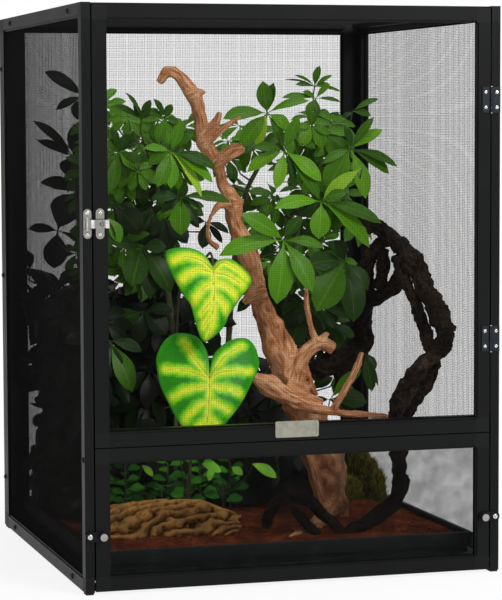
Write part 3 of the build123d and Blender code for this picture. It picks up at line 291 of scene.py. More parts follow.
@dataclass(frozen=True)
class HeartBlade(Finish):
    """A variegated heart leaf: yellow-lime bands along the veins, bright green between them.

    The mesh carries "vein" (distance to the nearest vein), "margin" (distance to the edge), both in
    the leaf's own band width, and "tone" (0 for the younger, yellower leaf and 1 for the greener one).
    """

    lime: str = "#eef53c"
    green: str = "#5cc414"
    deep: str = "#2a8c10"
    line: str = "#6c8c14"
    edge: str = "#3aa014"

    def pattern(self, tree: bpy.types.NodeTree, shader: bpy.types.Node) -> None:
        """Bands follow the veins with a ragged edge; each vein is a thin dark line in its band."""
        here = self.place(tree)
        vein = add_node(tree, "ShaderNodeAttribute", {"attribute_name": "vein"})
        margin = add_node(tree, "ShaderNodeAttribute", {"attribute_name": "margin"})
        tone = add_node(tree, "ShaderNodeAttribute", {"attribute_name": "tone"})
        blotch = add_node(tree, "ShaderNodeTexNoise", {"Scale": per_metre(8.0), "Detail": 4.0,
                                                       "Roughness": 0.65}, {"Vector": here})
        fleck = add_node(tree, "ShaderNodeTexNoise", {"Scale": per_metre(1.4), "Detail": 2.0},
                         {"Vector": here})
        ragged = add_node(tree, "ShaderNodeMath", {"operation": "MULTIPLY_ADD", 1: 0.50},
                          {0: blotch.outputs[0], 2: vein.outputs["Fac"]})
        older = add_node(tree, "ShaderNodeMath", {"operation": "MULTIPLY_ADD", 1: 0.07},
                         {0: tone.outputs["Fac"], 2: ragged.outputs[0]})
        flecked = add_node(tree, "ShaderNodeMath", {"operation": "MULTIPLY_ADD", 1: 0.16},
                           {0: fleck.outputs[0], 2: older.outputs[0]})
        body = add_node(tree, "ShaderNodeValToRGB", {"stops": (
            (0.42, self.lime), (0.64, self.colour), (0.82, self.green), (1.0, self.deep))},
            {0: flecked.outputs[0]})
        rim = add_node(tree, "ShaderNodeMapRange", {1: 0.03, 2: 0.40, 3: 0.85, 4: 0.0},
                       {0: margin.outputs["Fac"]})
        rimmed = add_node(tree, "ShaderNodeMix", {"data_type": "RGBA", 7: linear(self.edge)},
                          {0: rim.outputs[0], 6: body.outputs[0]})
        thread = add_node(tree, "ShaderNodeMapRange", {1: 0.015, 2: 0.045, 3: 0.8, 4: 0.0},
                          {0: vein.outputs["Fac"]})
        drawn = add_node(tree, "ShaderNodeMix", {"data_type": "RGBA", 7: linear(self.line)},
                         {0: thread.outputs[0], 6: rimmed.outputs[2]})
        tree.links.new(drawn.outputs[2], shader.inputs["Base Color"])
        self.bump(tree, shader, fleck.outputs[0], 0.2, 0.3)


@dataclass(frozen=True)
class GrainedWood(Finish):
    """Peeled branch: streaks run along the limb, dark in the grooves and paler on the ridges.

    The mesh carries "along" (metres) and "around" (turns of the limb).
    """

    dark: str = "#5d3a24"
    pale: str = "#d9ab85"
    streak: float = 9.0
    run_mm: float = 18.0

    def pattern(self, tree: bpy.types.NodeTree, shader: bpy.types.Node) -> None:
        """Long streaks with short cracks and soft stains over them."""
        along = add_node(tree, "ShaderNodeAttribute", {"attribute_name": "along"})
        around = add_node(tree, "ShaderNodeAttribute", {"attribute_name": "around"})
        run = add_node(tree, "ShaderNodeMath", {"operation": "MULTIPLY", 1: per_metre(self.run_mm)},
                       {0: along.outputs["Fac"]})
        turn = add_node(tree, "ShaderNodeMath", {"operation": "MULTIPLY", 1: self.streak},
                        {0: around.outputs["Fac"]})
        wrapped = add_node(tree, "ShaderNodeCombineXYZ", links={0: turn.outputs[0], 1: run.outputs[0]})
        grain = add_node(tree, "ShaderNodeTexNoise", {"Scale": 1.0, "Detail": 6.0, "Roughness": 0.62,
                                                      "Distortion": 0.6}, {"Vector": wrapped.outputs[0]})
        stain = add_node(tree, "ShaderNodeTexNoise", {"Scale": per_metre(35.0), "Detail": 3.0},
                         {"Vector": self.place(tree)})
        mixed = add_node(tree, "ShaderNodeMath", {"operation": "MULTIPLY_ADD", 1: 0.45},
                         {0: stain.outputs[0], 2: grain.outputs[0]})
        body = add_node(tree, "ShaderNodeValToRGB", {"stops": (
            (0.48, self.dark), (0.68, self.colour), (0.92, self.pale))}, {0: mixed.outputs[0]})
        tree.links.new(body.outputs[0], shader.inputs["Base Color"])
        self.bump(tree, shader, grain.outputs[0], 0.9, 0.7)


@dataclass(frozen=True)
class RoughGround(Finish):
    """Loose or cracked matter, such as soil: dark in its hollows and pale on its tops."""

    dark: str = "#20120b"
    pale: str = "#9a6a48"
    lump_mm: float = 3.0
    deep_mm: float = 1.2

    def pattern(self, tree: bpy.types.NodeTree, shader: bpy.types.Node) -> None:
        """Crumbs over broad patches of damp and dry."""
        here = self.place(tree)
        crumb = add_node(tree, "ShaderNodeTexNoise", {"Scale": per_metre(self.lump_mm), "Detail": 6.0,
                                                      "Roughness": 0.7}, {"Vector": here})
        damp = add_node(tree, "ShaderNodeTexNoise", {"Scale": per_metre(self.lump_mm * 9), "Detail": 2.0},
                        {"Vector": here})
        mixed = add_node(tree, "ShaderNodeMath", {"operation": "MULTIPLY_ADD", 1: 0.5},
                         {0: damp.outputs[0], 2: crumb.outputs[0]})
        body = add_node(tree, "ShaderNodeValToRGB", {"stops": (
            (0.50, self.dark), (0.74, self.colour), (0.98, self.pale))}, {0: mixed.outputs[0]})
        tree.links.new(body.outputs[0], shader.inputs["Base Color"])
        self.bump(tree, shader, crumb.outputs[0], self.deep_mm, 0.8)


@dataclass(frozen=True)
class CorkSkin(RoughGround):
    """Cork bark: weathered tan ridges between dark cracks; the mesh carries "ridge", 1 on a ridge."""

    def pattern(self, tree: bpy.types.NodeTree, shader: bpy.types.Node) -> None:
        """Ridges pale on their tops, with corky pits of their own."""
        ridge = add_node(tree, "ShaderNodeAttribute", {"attribute_name": "ridge"})
        pits = add_node(tree, "ShaderNodeTexNoise", {"Scale": per_metre(self.lump_mm), "Detail": 6.0,
                                                     "Roughness": 0.7}, {"Vector": self.place(tree)})
        mixed = add_node(tree, "ShaderNodeMath", {"operation": "MULTIPLY_ADD", 1: 0.55},
                         {0: ridge.outputs["Fac"], 2: pits.outputs[0]})
        level = add_node(tree, "ShaderNodeMath", {"operation": "SUBTRACT", 1: 0.15}, {0: mixed.outputs[0]})
        body = add_node(tree, "ShaderNodeValToRGB", {"stops": (
            (0.42, self.dark), (0.66, self.colour), (0.90, self.pale))}, {0: level.outputs[0]})
        tree.links.new(body.outputs[0], shader.inputs["Base Color"])
        self.bump(tree, shader, pits.outputs[0], self.deep_mm, 0.8)


class Surfaces(Enum):
    """Every finish of the terrarium, by the thing that wears it."""

    # 6063 aluminium, extruded and anodised satin black: dark, with a broad soft sheen at a low angle
    BAR = ClothedMetal("black_anodised_extrusion", "#080a09", 0.40, tint="#0e110f",
                       extras=(("Specular IOR Level", 0.14),))
    # glass-filled nylon, moulded: a shade greyer and duller than the bars
    CORNER = MouldedPlastic("moulded_nylon_corner", "#0b0d0c", 0.5, grain_mm=0.6, deep_mm=0.04,
                            tint="#131615", extras=(("Specular IOR Level", 0.16),))
    # aluminium wire under a black coating: thin, dark and slightly glossy
    WIRE = ClothedMetal("coated_screen_wire", "#050505", 0.5, grain_mm=0.4, tint="#090a09",
                        extras=(("Specular IOR Level", 0.10),))
    # EPDM cord pressed beside the wire: dead black
    BEAD = MouldedPlastic("rubber_bead", "#060606", 0.75, grain_mm=0.9, deep_mm=0.03, tint="#0b0b0b",
                          extras=(("Specular IOR Level", 0.12),))
    # natural rubber pads
    FOOT = MouldedPlastic("rubber_foot", "#101010", 0.85, grain_mm=1.2, deep_mm=0.05, tint="#1a1a1a")
    # ABS tray, moulded with a leather grain whose tops carry a painted highlight
    TRAY = MouldedPlastic("grained_abs_tray", "#101211", 0.55, grain_mm=1.9, deep_mm=0.35, tint="#4a5150",
                          extras=(("Specular IOR Level", 0.2),))
    # coated sheet under the tray
    SHEET = ClothedMetal("black_coated_sheet", "#0c0d0d", 0.5, extras=(("Specular IOR Level", 0.2),))
    # pressed steel with a dark electrophoretic coat: a cool grey with soft highlights
    HINGE = PlatedSteel("dark_coated_hinge_steel", "#3b4046", 0.34, metallic=1.0, tint="#23272b")
    # nickel-plated pressings: bright with dark reflections
    LATCH = PlatedSteel("nickel_plated_pressing", "#d6d3cc", 0.16, metallic=1.0, tint="#a8a6a1")
    # black zinc strip: nearly the bars' colour, so that its bright screws stand out
    CLIP = PlatedSteel("black_zinc_strip", "#26282a", 0.3, metallic=1.0, tint="#17191a")
    # turned and nickel-plated, knurled
    KNOB = PlatedSteel("plated_knurled_knob", "#bdbcb8", 0.22, metallic=1.0, tint="#8b8a87")
    # stainless screws, tumbled bright
    SCREW = PlatedSteel("bright_stainless_screw", "#dcdcda", 0.18, metallic=1.0, tint="#b9b9b6")
    # black zinc screws: nearly the bars' own colour, with a sharper glint
    DARK_SCREW = PlatedSteel("black_zinc_screw", "#3a3b3c", 0.26, metallic=1.0, tint="#222324")
    # die-cast badge blank, brushed bright
    BADGE = PlatedSteel("brushed_badge_blank", "#b9b7a8", 0.36, metallic=1.0, tint="#7f7d70")
    # clear polished acrylic
    PANE = ClearPane("clear_acrylic_pane", "#020303", 0.08, clear=0.26,
                     extras=(("Specular IOR Level", 0.10),))
    # sand-blasted, peeled branch: pinkish tan with dark grooves
    BRANCH = GrainedWood("peeled_branch_wood", "#b47447", 0.62, dark="#4c2a15", pale="#f0bd90",
                         extras=(("Specular IOR Level", 0.25),))
    # twisted liana bark, near black with brown ridges
    LIANA = GrainedWood("dark_liana_bark", "#15100c", 0.9, dark="#060504", pale="#3d2f24", streak=7.0,
                        run_mm=6.0, extras=(("Specular IOR Level", 0.12),))
    # virgin cork bark: tan ridges between near-black cracks
    CORK = CorkSkin("ridged_cork_bark", "#8f5c28", 0.9, dark="#1c0f07", pale="#dba45c", lump_mm=5.0,
                    deep_mm=1.6, extras=(("Specular IOR Level", 0.12),))
    # shredded coconut fibre, damp red-brown
    SOIL = RoughGround("coconut_fibre_soil", "#6e2f16", 0.95, dark="#2a1008", pale="#b0602f", lump_mm=2.4,
                       extras=(("Specular IOR Level", 0.1),))
    # sphagnum-like moss, olive to yellow
    MOSS = Blade("moss_tuft", "#a8a11c", 0.8, shade="#2c2d0b", dusk="#6a670f", young_and_lit="#e0d34a",
                 rib="#8a8838", extras=(("Specular IOR Level", 0.1),))
    # waxy umbrella-plant leaflets
    UMBRELLA = Blade("umbrella_leaf_skin", "#5a9612", 0.42,
                     extras=(("Specular IOR Level", 0.16),))
    # small soft ground leaves, bright green
    GROUND_LEAF = Blade("ground_leaf_skin", "#55b81c", 0.45, dusk="#1f5f10", young_and_lit="#a5e448", rib="#9cd060",
                        extras=(("Specular IOR Level", 0.16),))
    # variegated heart leaves
    HEART = HeartBlade("heart_leaf_skin", "#a9e022", 0.42,
                       extras=(("Specular IOR Level", 0.16),))
    # green-brown bark of the young stems
    STEM = GrainedWood("young_stem_bark", "#353d1b", 0.6, dark="#171b0b", pale="#666b38", streak=5.0,
                       run_mm=12.0)

    def material(self) -> bpy.types.Material:
        """The finish's material."""
        return self.value.material()


# ---------------------------------------------------------------------------- meshes
@dataclass
class Sheaf:
    """Points, faces and per-point values gathered for one mesh."""

    points: list[Vector] = field(default_factory=list)
    faces: list[tuple[int, ...]] = field(default_factory=list)
    values: dict[str, list[float]] = field(default_factory=dict)

    def add(self, points: list[Vector], faces: list[tuple[int, ...]], **values: list[float]) -> None:
        """Append a patch.

        Args:
            points: its corners.
            faces: its faces, counted from its own first corner.
            values: one number per corner for each named attribute.
        """
        start = len(self.points)
        self.points.extend(points)
        self.faces.extend(tuple(start + corner for corner in face) for face in faces)
        for name, numbers in values.items():
            held = self.values.setdefault(name, [0.0] * start)
            held.extend([0.0] * (start - len(held)))
            held.extend(numbers)

    def piece(self, name: str, surface: Surfaces, smooth: bool = True) -> bpy.types.Object:
        """Make the mesh object.

        Args:
            name: the piece's name.
            surface: its finish.
            smooth: whether its faces blend into each other.

        Returns:
            The object, in the scene.
        """
        mesh = bpy.data.meshes.new(name)
        mesh.from_pydata(self.points, [], self.faces)
        for key, numbers in self.values.items():
            numbers = numbers + [0.0] * (len(self.points) - len(numbers))
            mesh.attributes.new(key, "FLOAT", "POINT").data.foreach_set("value", numbers)
        if smooth:
            mesh.shade_smooth()
        mesh.validate()
        mesh.materials.append(surface.material())
        made = bpy.data.objects.new(name, mesh)
        bpy.context.scene.collection.objects.link(made)
        return made


def settle(piece: bpy.types.Object, body: str, slot: str, *nodes: str) -> bpy.types.Object:
    """Fix a piece to its body and hide the frame nodes it stands for."""
    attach(piece, body)
    if nodes:
        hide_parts(*nodes)
    log.info("%s: %d faces on %s", piece.name, len(piece.data.polygons), body)
    return piece


def applied(piece: bpy.types.Object) -> bpy.types.Object:
    """Bake a piece's modifiers into its mesh."""
    graph = bpy.context.evaluated_depsgraph_get()
    mesh = bpy.data.meshes.new_from_object(piece.evaluated_get(graph))
    piece.modifiers.clear()
    piece.data = mesh
    return piece


def smooth_run(points: Limb, step_mm: float = 4.0) -> list[tuple[Vector, float]]:
    """A curve through the points of a limb.

    Args:
        points: x, depth, z and radius in millimetres.
        step_mm: how far apart the results lie.

    Returns:
        Places in metres with the limb's radius at each.
    """
    knots = [Vector((*spot(x, depth, z), radius * MM)) for x, depth, z, radius in points]
    knots = [knots[0] * 2 - knots[1], *knots, knots[-1] * 2 - knots[-2]]
    run: list[tuple[Vector, float]] = []
    for before, a, b, after in zip(knots, knots[1:], knots[2:], knots[3:]):
        count = max(2, round((b.xyz - a.xyz).length / (step_mm * MM)))
        for number in range(count):
            t = number / count
            place = 0.5 * (2 * a + (b - before) * t + (2 * before - 5 * a + 4 * b - after) * t * t
                           + (3 * a - before - 3 * b + after) * t ** 3)
            run.append((place.xyz, max(place.w, 0.0004)))
    run.append((knots[-2].xyz, knots[-2].w))
    return run


def frames_along(run: list[tuple[Vector, float]]) -> list[tuple[Vector, Vector, Vector]]:
    """At each place of a run: the way along it and two directions across it that don't twist."""
    result = []
    across = Vector((0.31, 0.52, 0.79))
    for number, (place, _) in enumerate(run):
        before = run[max(number - 1, 0)][0]
        after = run[min(number + 1, len(run) - 1)][0]
        along = (after - before).normalized()
        across = (across - along * across.dot(along)).normalized()
        result.append((along, across, along.cross(across)))
    return result


def tube(sheaf: Sheaf, run: list[tuple[Vector, float]], sides: int = 10, rough: float = 0.0,
         tone: float = 0.5, seed: float = 0.0, lobe: float = 0.0, lay_mm: float = 70.0) -> None:
    """Add a closed tube along a run.

    Args:
        sheaf: where it goes.
        run: places and radii.
        sides: corners of its section.
        rough: how far its radius wanders, as a share of itself.
        tone: a value for the finish.
        seed: moves the wandering pattern.
        lobe: how far two twisted ribs stand out, as a share of the radius.
        lay_mm: the length over which they twist once round.
    """
    points, alongs, arounds, travelled = [], [], [], 0.0
    for number, ((place, radius), (_, a, b)) in enumerate(zip(run, frames_along(run))):
        travelled += (place - run[max(number - 1, 0)][0]).length
        for side in range(sides):
            turn = side / sides * math.tau
            out = a * math.cos(turn) + b * math.sin(turn)
            wander = 1 + rough * noise.noise(place * 90 + out * 1.7 + Vector((seed, 0, 0)))
            wander += lobe * math.cos(2 * turn - travelled / (lay_mm * MM) * math.tau)
            points.append(place + out * radius * wander)
            alongs.append(travelled)
            arounds.append(abs(side / sides - 0.5) * 2)
    faces = []
    for ring in range(len(run) - 1):
        for side in range(sides):
            after = (side + 1) % sides
            start = ring * sides
            faces.append((start + side, start + after, start + sides + after, start + sides + side))
    faces.append(tuple(reversed(range(sides))))
    faces.append(tuple(range(len(points) - sides, len(points))))
    sheaf.add(points, faces, along=alongs, around=arounds, tone=[tone] * len(points),
              across=[0.5] * len(points))


# ---------------------------------------------------------------------------- cabinet
CAD_FINISH: dict[Surfaces, tuple[str, ...]] = {
    Surfaces.BAR: ("front_posts", "rear_posts", "side_top_rails", "side_base_rails", "rear_top_rail",
                   "rear_base_rail", "front_header_rail", "door_crossbar", "front_base_rail",
                   "top_screen_frame", "upper_door_left_stile", "upper_door_right_stile",
                   "upper_door_top_rail", "upper_door_bottom_rail", "lower_door_left_stile",
                   "lower_door_right_stile", "lower_door_top_rail", "lower_door_bottom_rail"),
    Surfaces.CORNER: ("top_corner_blocks", "base_corner_blocks", "upper_door_corner_keys",
                      "lower_door_corner_keys"),
    Surfaces.BEAD: ("screen_beads", "upper_door_bead", "window_gasket"),
    Surfaces.FOOT: ("foot_pads",),
    Surfaces.SHEET: ("floor_panel",),
    Surfaces.TRAY: ("substrate_tray",),
    Surfaces.HINGE: ("hinge_post_leaves", "hinge_door_leaves"),
    Surfaces.SCREW: ("pivot_pins",),
    Surfaces.LATCH: ("latch_base", "latch_lever", "latch_strike"),
    Surfaces.CLIP: ("turn_clip_left", "turn_clip_right"),
    Surfaces.KNOB: ("thumb_screw_left", "thumb_screw_right"),
    Surfaces.PANE: ("window_pane",),
    Surfaces.BADGE: ("badge_plate",),
}


@dataclass
class Cabinet:
    """The bars, corners, doors and fittings, whose shapes the frame already has."""

    bar_round_mm: float = 0.45
    small_round_mm: float = 0.22
    small: tuple[Surfaces, ...] = (Surfaces.HINGE, Surfaces.LATCH, Surfaces.CLIP, Surfaces.BADGE)
    sharp: tuple[Surfaces, ...] = (Surfaces.PANE, Surfaces.KNOB, Surfaces.SCREW)

    def dress(self) -> None:
        """Give every kept node its finish and break its sharp edges."""
        for surface, names in CAD_FINISH.items():
            for name in names:
                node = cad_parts[name]
                node.data.materials.clear()
                node.data.materials.append(surface.material())
                if surface not in self.sharp:
                    self.soften(node, self.small_round_mm if surface in self.small else self.bar_round_mm)
                log.info("%s: %s", name, surface.value.name)

    def soften(self, node: bpy.types.Object, width_mm: float) -> None:
        """Round the edges so that they catch a line of light."""
        bevel = node.modifiers.new("edges", "BEVEL")
        bevel.width = width_mm * MM
        bevel.segments = 2
        bevel.limit_method = "ANGLE"
        bevel.angle_limit = math.radians(50)
        bevel.harden_normals = False


@dataclass
class Screen:
    """A panel of plain-woven fine wire: straight wires in two layers that touch."""

    node: str
    body: str
    flat: int  # the axis across the sheet: 0 is x, 1 is y, 2 is z
    # woven at 1.4 mm in life; 1.8 mm here, so that single wires show at the picture's size
    pitch_mm: float = 1.8
    wire_mm: float = 0.22

    def build(self) -> bpy.types.Object:
        """Make the wires over the node's own extent."""
        low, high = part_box(self.node)
        middle = (low + high) / 2
        axes = [axis for axis in range(3) if axis != self.flat]
        sheaf = Sheaf()
        for way, cross in (axes, axes[::-1]):
            lift = (self.wire_mm if way == axes[0] else -self.wire_mm) * MM / 2
            span = high[cross] - low[cross]
            count = max(2, round(span / (self.pitch_mm * MM)))
            for number in range(1, count):
                centre = middle.copy()
                centre[cross] = low[cross] + span * number / count
                centre[self.flat] += lift
                self.wire(sheaf, centre, way, cross, low[way], high[way])
        piece = sheaf.piece(self.node + "_wires", Surfaces.WIRE, smooth=False)
        return settle(piece, self.body, "screen_wire", self.node)

    def wire(self, sheaf: Sheaf, centre: Vector, way: int, cross: int, start: float, end: float) -> None:
        """Add one straight wire of square section, standing on its edge."""
        half = self.wire_mm * MM / 2
        points = []
        for place in (start, end):
            for over, off in ((half, 0), (0, half), (-half, 0), (0, -half)):
                point = centre.copy()
                point[way] = place
                point[cross] += over
                point[self.flat] += off
                points.append(point)
        faces = [(side, (side + 1) % 4, 4 + (side + 1) % 4, 4 + side) for side in range(4)]
        sheaf.add(points, [*faces, (3, 2, 1, 0), (4, 5, 6, 7)])


@dataclass
class ScrewHead:
    """A domed head with a cross recess and, on its rim, a thin flat collar."""

    radius_mm: float
    tall_mm: float
    sides: int = 24

    def add(self, sheaf: Sheaf, foot: Vector, out: Vector, turn: float) -> None:
        """Add one head.

        Args:
            sheaf: where it goes.
            foot: the middle of its underside.
            out: the way it faces.
            turn: how far its cross is turned, in radians.
        """
        side_way = out.orthogonal().normalized()
        other = out.cross(side_way)
        radius, tall = self.radius_mm * MM, self.tall_mm * MM
        rings = ((1.0, 0.0), (1.0, 0.22), (0.93, 0.45), (0.78, 0.74), (0.6, 0.9), (0.42, 0.97), (0.22, 1.0))
        points = []
        for share, rise in rings:
            for side in range(self.sides):
                angle = side / self.sides * math.tau
                arm = abs(math.cos(2 * (angle - turn))) ** 6
                sink = 0.55 * arm if share < 0.5 else 0.0
                way = side_way * math.cos(angle) + other * math.sin(angle)
                points.append(foot + way * radius * share + out * tall * (rise - sink))
        points.append(foot + out * tall * 0.4)
        faces = []
        for ring in range(len(rings) - 1):
            for side in range(self.sides):
                after, start = (side + 1) % self.sides, ring * self.sides
                faces.append((start + side, start + after, start + self.sides + after,
                              start + self.sides + side))
        last = (len(rings) - 1) * self.sides
        faces += [(last + side, last + (side + 1) % self.sides, len(points) - 1)
                  for side in range(self.sides)]
        faces.append(tuple(reversed(range(self.sides))))
        sheaf.add(points, faces)


@dataclass
class Fasteners:
    """Screws and rivets of the cabinet and the mesh door."""

    half_mm: float = 225.0
    side_screws: tuple[tuple[float, float], ...] = (
        (66, 593.5), (384, 593.5), (66, 8.5), (384, 8.5), (442, 60), (442, 300), (442, 542), (7, 138))
    hinge_heights: tuple[float, ...] = (250.0, 502.0)
    hinge_rises: tuple[float, ...] = (-8.0, 8.0)  # screws above the middle of their hinge
    hinge_post_x: float = 220.77
    hinge_door_x: float = 208.43
    plate_face: float = -1.2  # the depth at which hinge and latch plates end
    latch_z: float = 378.0
    latch_rises: tuple[float, ...] = (-11.0, 11.0)  # screws above the middle of the latch
    post_x: float = 220.25
    stile_x: float = 207.25
    clip_z: float = 60.0
    clip_face: float = -2.5
    # radius and height of each kind of head
    side_head: tuple[float, float] = (3.0, 2.0)
    hinge_head: tuple[float, float] = (2.1, 1.2)
    base_head: tuple[float, float] = (2.6, 1.6)
    strike_head: tuple[float, float] = (2.4, 1.4)
    clip_head: tuple[float, float] = (2.8, 1.0)

    def side_heads(self) -> bpy.types.Object:
        """Dark screws through both sides of the cabinet."""
        sheaf, head = Sheaf(), ScrewHead(*self.side_head)
        for side in (-1, 1):
            for number, (depth, z) in enumerate(self.side_screws):
                head.add(sheaf, spot(side * self.half_mm, depth, z), Vector((side, 0, 0)), number * 0.7)
        return settle(sheaf.piece("side_screw_heads", Surfaces.DARK_SCREW), "cabinet", "side_screw_steel",
                      "cabinet_screws")

    def cabinet_heads(self) -> bpy.types.Object:
        """Bright heads on the right post, the latch base and the turn clips."""
        sheaf, out = Sheaf(), Vector((0, -1, 0))
        for number, height in enumerate(self.hinge_heights):
            for rise in self.hinge_rises:
                ScrewHead(*self.hinge_head).add(
                    sheaf, spot(self.hinge_post_x, self.plate_face, height + rise), out, number + rise)
        for rise in self.latch_rises:
            ScrewHead(*self.base_head).add(
                sheaf, spot(-self.post_x, self.plate_face, self.latch_z + rise), out, rise)
        for side in (-1, 1):
            ScrewHead(*self.clip_head).add(
                sheaf, spot(side * self.post_x, self.clip_face, self.clip_z), out, 0.4 * side)
            stem = [(spot(side * self.post_x, back, self.clip_z), 1.5 * MM) for back in (-2.6, -1.3, 0.0)]
            tube(sheaf, stem, 12)
        return settle(sheaf.piece("cabinet_screw_heads", Surfaces.SCREW), "cabinet", "fastener_steel",
                      "cabinet_fasteners")

    def door_heads(self) -> bpy.types.Object:
        """Bright heads on the mesh door's hinge leaves and latch strike."""
        sheaf, out = Sheaf(), Vector((0, -1, 0))
        for number, height in enumerate(self.hinge_heights):
            for rise in self.hinge_rises:
                ScrewHead(*self.hinge_head).add(
                    sheaf, spot(self.hinge_door_x, self.plate_face, height + rise), out, number - rise)
        for rise in self.latch_rises:
            ScrewHead(*self.strike_head).add(
                sheaf, spot(-self.stile_x, self.plate_face, self.latch_z + rise), out, rise)
        return settle(sheaf.piece("door_screw_heads", Surfaces.SCREW), "upper_door", "fastener_steel",
                      "door_fasteners")


# ---------------------------------------------------------------------------- wood and soil
DRIFTWOOD_LIMBS: tuple[Limb, ...] = (
    # the trunk, from the crooked tip to the foot
    ((-85, 240, 523, 4.5), (-75, 238, 536, 6), (-65, 236, 532, 6.5), (-57, 235, 523, 7),
     (-46, 231, 506, 8.5), (-41, 227, 484, 7), (-40, 226, 471, 8.5), (-37, 225, 457, 9.5),
     (-26, 222, 436, 8), (-20, 221, 424, 6), (-18, 220, 411, 6), (-7, 218, 390, 10.5), (-4, 217, 366, 9),
     (9, 216, 337, 10.5), (15, 215, 319, 10), (18, 214, 302, 10), (26, 213, 271, 12.5),
     (35, 212, 252, 14.5), (44, 211, 229, 16.5), (53, 210, 206, 17), (62, 209, 180, 17.5),
     (74, 207, 150, 18.5), (88, 203, 116, 19), (98, 198, 76, 18), (102, 194, 26, 15.5)),
    # short broken forks near the top
    ((-37, 222, 462, 5.5), (-30, 219, 473, 5.5), (-24, 217, 483, 4.5), (-22, 216, 491, 3.5)),
    ((-43, 220, 456, 4.5), (-31, 216, 462, 4), (-20, 213, 471, 3.5), (-9, 210, 480, 3), (1, 208, 485, 2)),
    ((-27, 221, 432, 6.5), (-17, 216, 440, 7.5), (-6, 212, 447, 7), (3, 208, 452, 6)),
    ((-9, 216, 393, 8), (4, 210, 390, 3.5)),
    # thin hanging twig
    ((-12, 216, 388, 5.5), (-23, 212, 388, 4.5), (-33, 210, 377, 2.5), (-38, 209, 361, 2.5),
     (-36, 208, 348, 3), (-26, 208, 340, 3.5)),
    # right fork with its twigs
    ((58, 205, 183, 12.5), (63, 201, 204, 10.5), (70, 198, 218, 9), (81, 195, 229, 7.5), (92, 192, 231, 7),
     (103, 190, 225, 7.5)),
    ((86, 194, 232, 5.5), (96, 190, 244, 3)),
    ((84, 194, 233, 4.5), (77, 192, 249, 3.5), (72, 190, 268, 3.5), (70, 188, 283, 3), (70, 187, 297, 2)),
    # root that leaves to the left and runs on to the right
    ((6, 186, 198, 5), (17, 185, 192, 8.5), (35, 182, 181, 10), (53, 177, 170, 9), (71, 170, 163, 7),
     (95, 163, 157, 4.5), (128, 156, 154, 3.5), (158, 150, 151, 2.5)),
    ((46, 196, 182, 12.5), (63, 190, 172, 10), (87, 184, 163, 6.5)),
    ((94, 160, 162, 4), (100, 157, 175, 4), (110, 153, 194, 4), (117, 150, 210, 4), (122, 148, 225, 3)),
    # strand and roots at the foot
    ((71, 190, 114, 4), (77, 188, 94, 4.5), (83, 186, 73, 5), (89, 184, 50, 5.5)),
    ((94, 184, 46, 11), (71, 150, 35, 8.5), (40, 112, 31, 7), (20, 90, 30, 4)),
    # a splinter, a broken stub and a thin strand that the solid leaves out
    ((-50, 230, 510, 5.5), (-44, 226, 513, 4.5), (-38, 224, 513, 3), (-35, 224, 511, 1.5)),
    ((2, 206, 278, 3.5), (9, 204, 284, 7), (18, 204, 289, 8.5), (28, 206, 291, 5.5)),
    ((71, 200, 210, 3.5), (78, 198, 192, 2.5), (85, 196, 172, 2.5)),
)
LIANA_LIMBS: tuple[Limb, ...] = (
    # the outer strand, from the coil down to the soil
    ((150, 216, 358, 7), (161, 213, 361, 8), (178, 205, 346, 9.5), (186, 192, 338, 10),
     (190, 178, 326, 11), (194, 164, 312, 11), (196, 148, 296, 10.5), (198, 130, 282, 10.5),
     (199, 112, 268, 10.5), (200, 95, 254, 10), (195, 82, 242, 9.5), (182, 70, 230, 9), (167, 64, 221, 9),
     (153, 60, 210, 9.5), (146, 62, 197, 9.5), (139, 66, 182, 9.5), (135, 72, 166, 9.5), (138, 80, 146, 9),
     (142, 86, 123, 8.5), (145, 90, 100, 8), (147, 94, 80, 8.5), (140, 97, 62, 8.5), (123, 98, 50, 8.5),
     (102, 98, 39, 8), (86, 98, 30, 7)),
    # the inner strand beside it
    ((179, 186, 326, 8), (180, 174, 306, 7), (181, 160, 292, 6.5), (184, 146, 276, 6.5),
     (185, 130, 260, 6.5), (185, 112, 244, 7), (184, 96, 230, 7.5), (182, 84, 217, 8), (174, 80, 201, 8),
     (165, 82, 186, 8), (157, 86, 172, 8), (151, 92, 157, 8), (151, 98, 141, 7), (149, 100, 125, 6)),
    # the ring of the coil
    ((177, 214, 347, 8), (166, 220, 338, 8), (156, 224, 326, 8.5), (152, 226, 308, 8.5),
     (154, 227, 290, 9), (163, 226, 277, 8.5), (176, 221, 285, 8.5), (185, 214, 296, 8.5),
     (189, 204, 311, 8), (181, 192, 326, 8)),
    # from the coil to the left, behind the wood
    ((158, 234, 280, 8.5), (156, 236, 262, 8.5), (155, 238, 243, 9), (155, 238, 227, 10),
     (140, 238, 216, 11), (124, 238, 208, 12), (107, 238, 199, 12), (90, 238, 195, 9)),
    ((128, 244, 202, 9), (130, 246, 186, 8.5), (134, 246, 170, 7)),
    # the arch over the roots
    ((87, 92, 29, 6), (72, 96, 43, 6.5), (59, 104, 57, 6.5), (47, 114, 68, 6.5), (32, 122, 72, 6),
     (19, 128, 65, 6), (10, 132, 52, 5.5), (6, 134, 36, 5.5)),
    # two loose strands that the solid leaves out
    ((170, 212, 334, 7), (170, 214, 320, 7.5), (169, 216, 304, 7), (163, 218, 290, 6.5)),
    ((53, 94, 32, 5), (43, 104, 44, 5), (33, 112, 57, 5), (24, 118, 69, 5)),
)


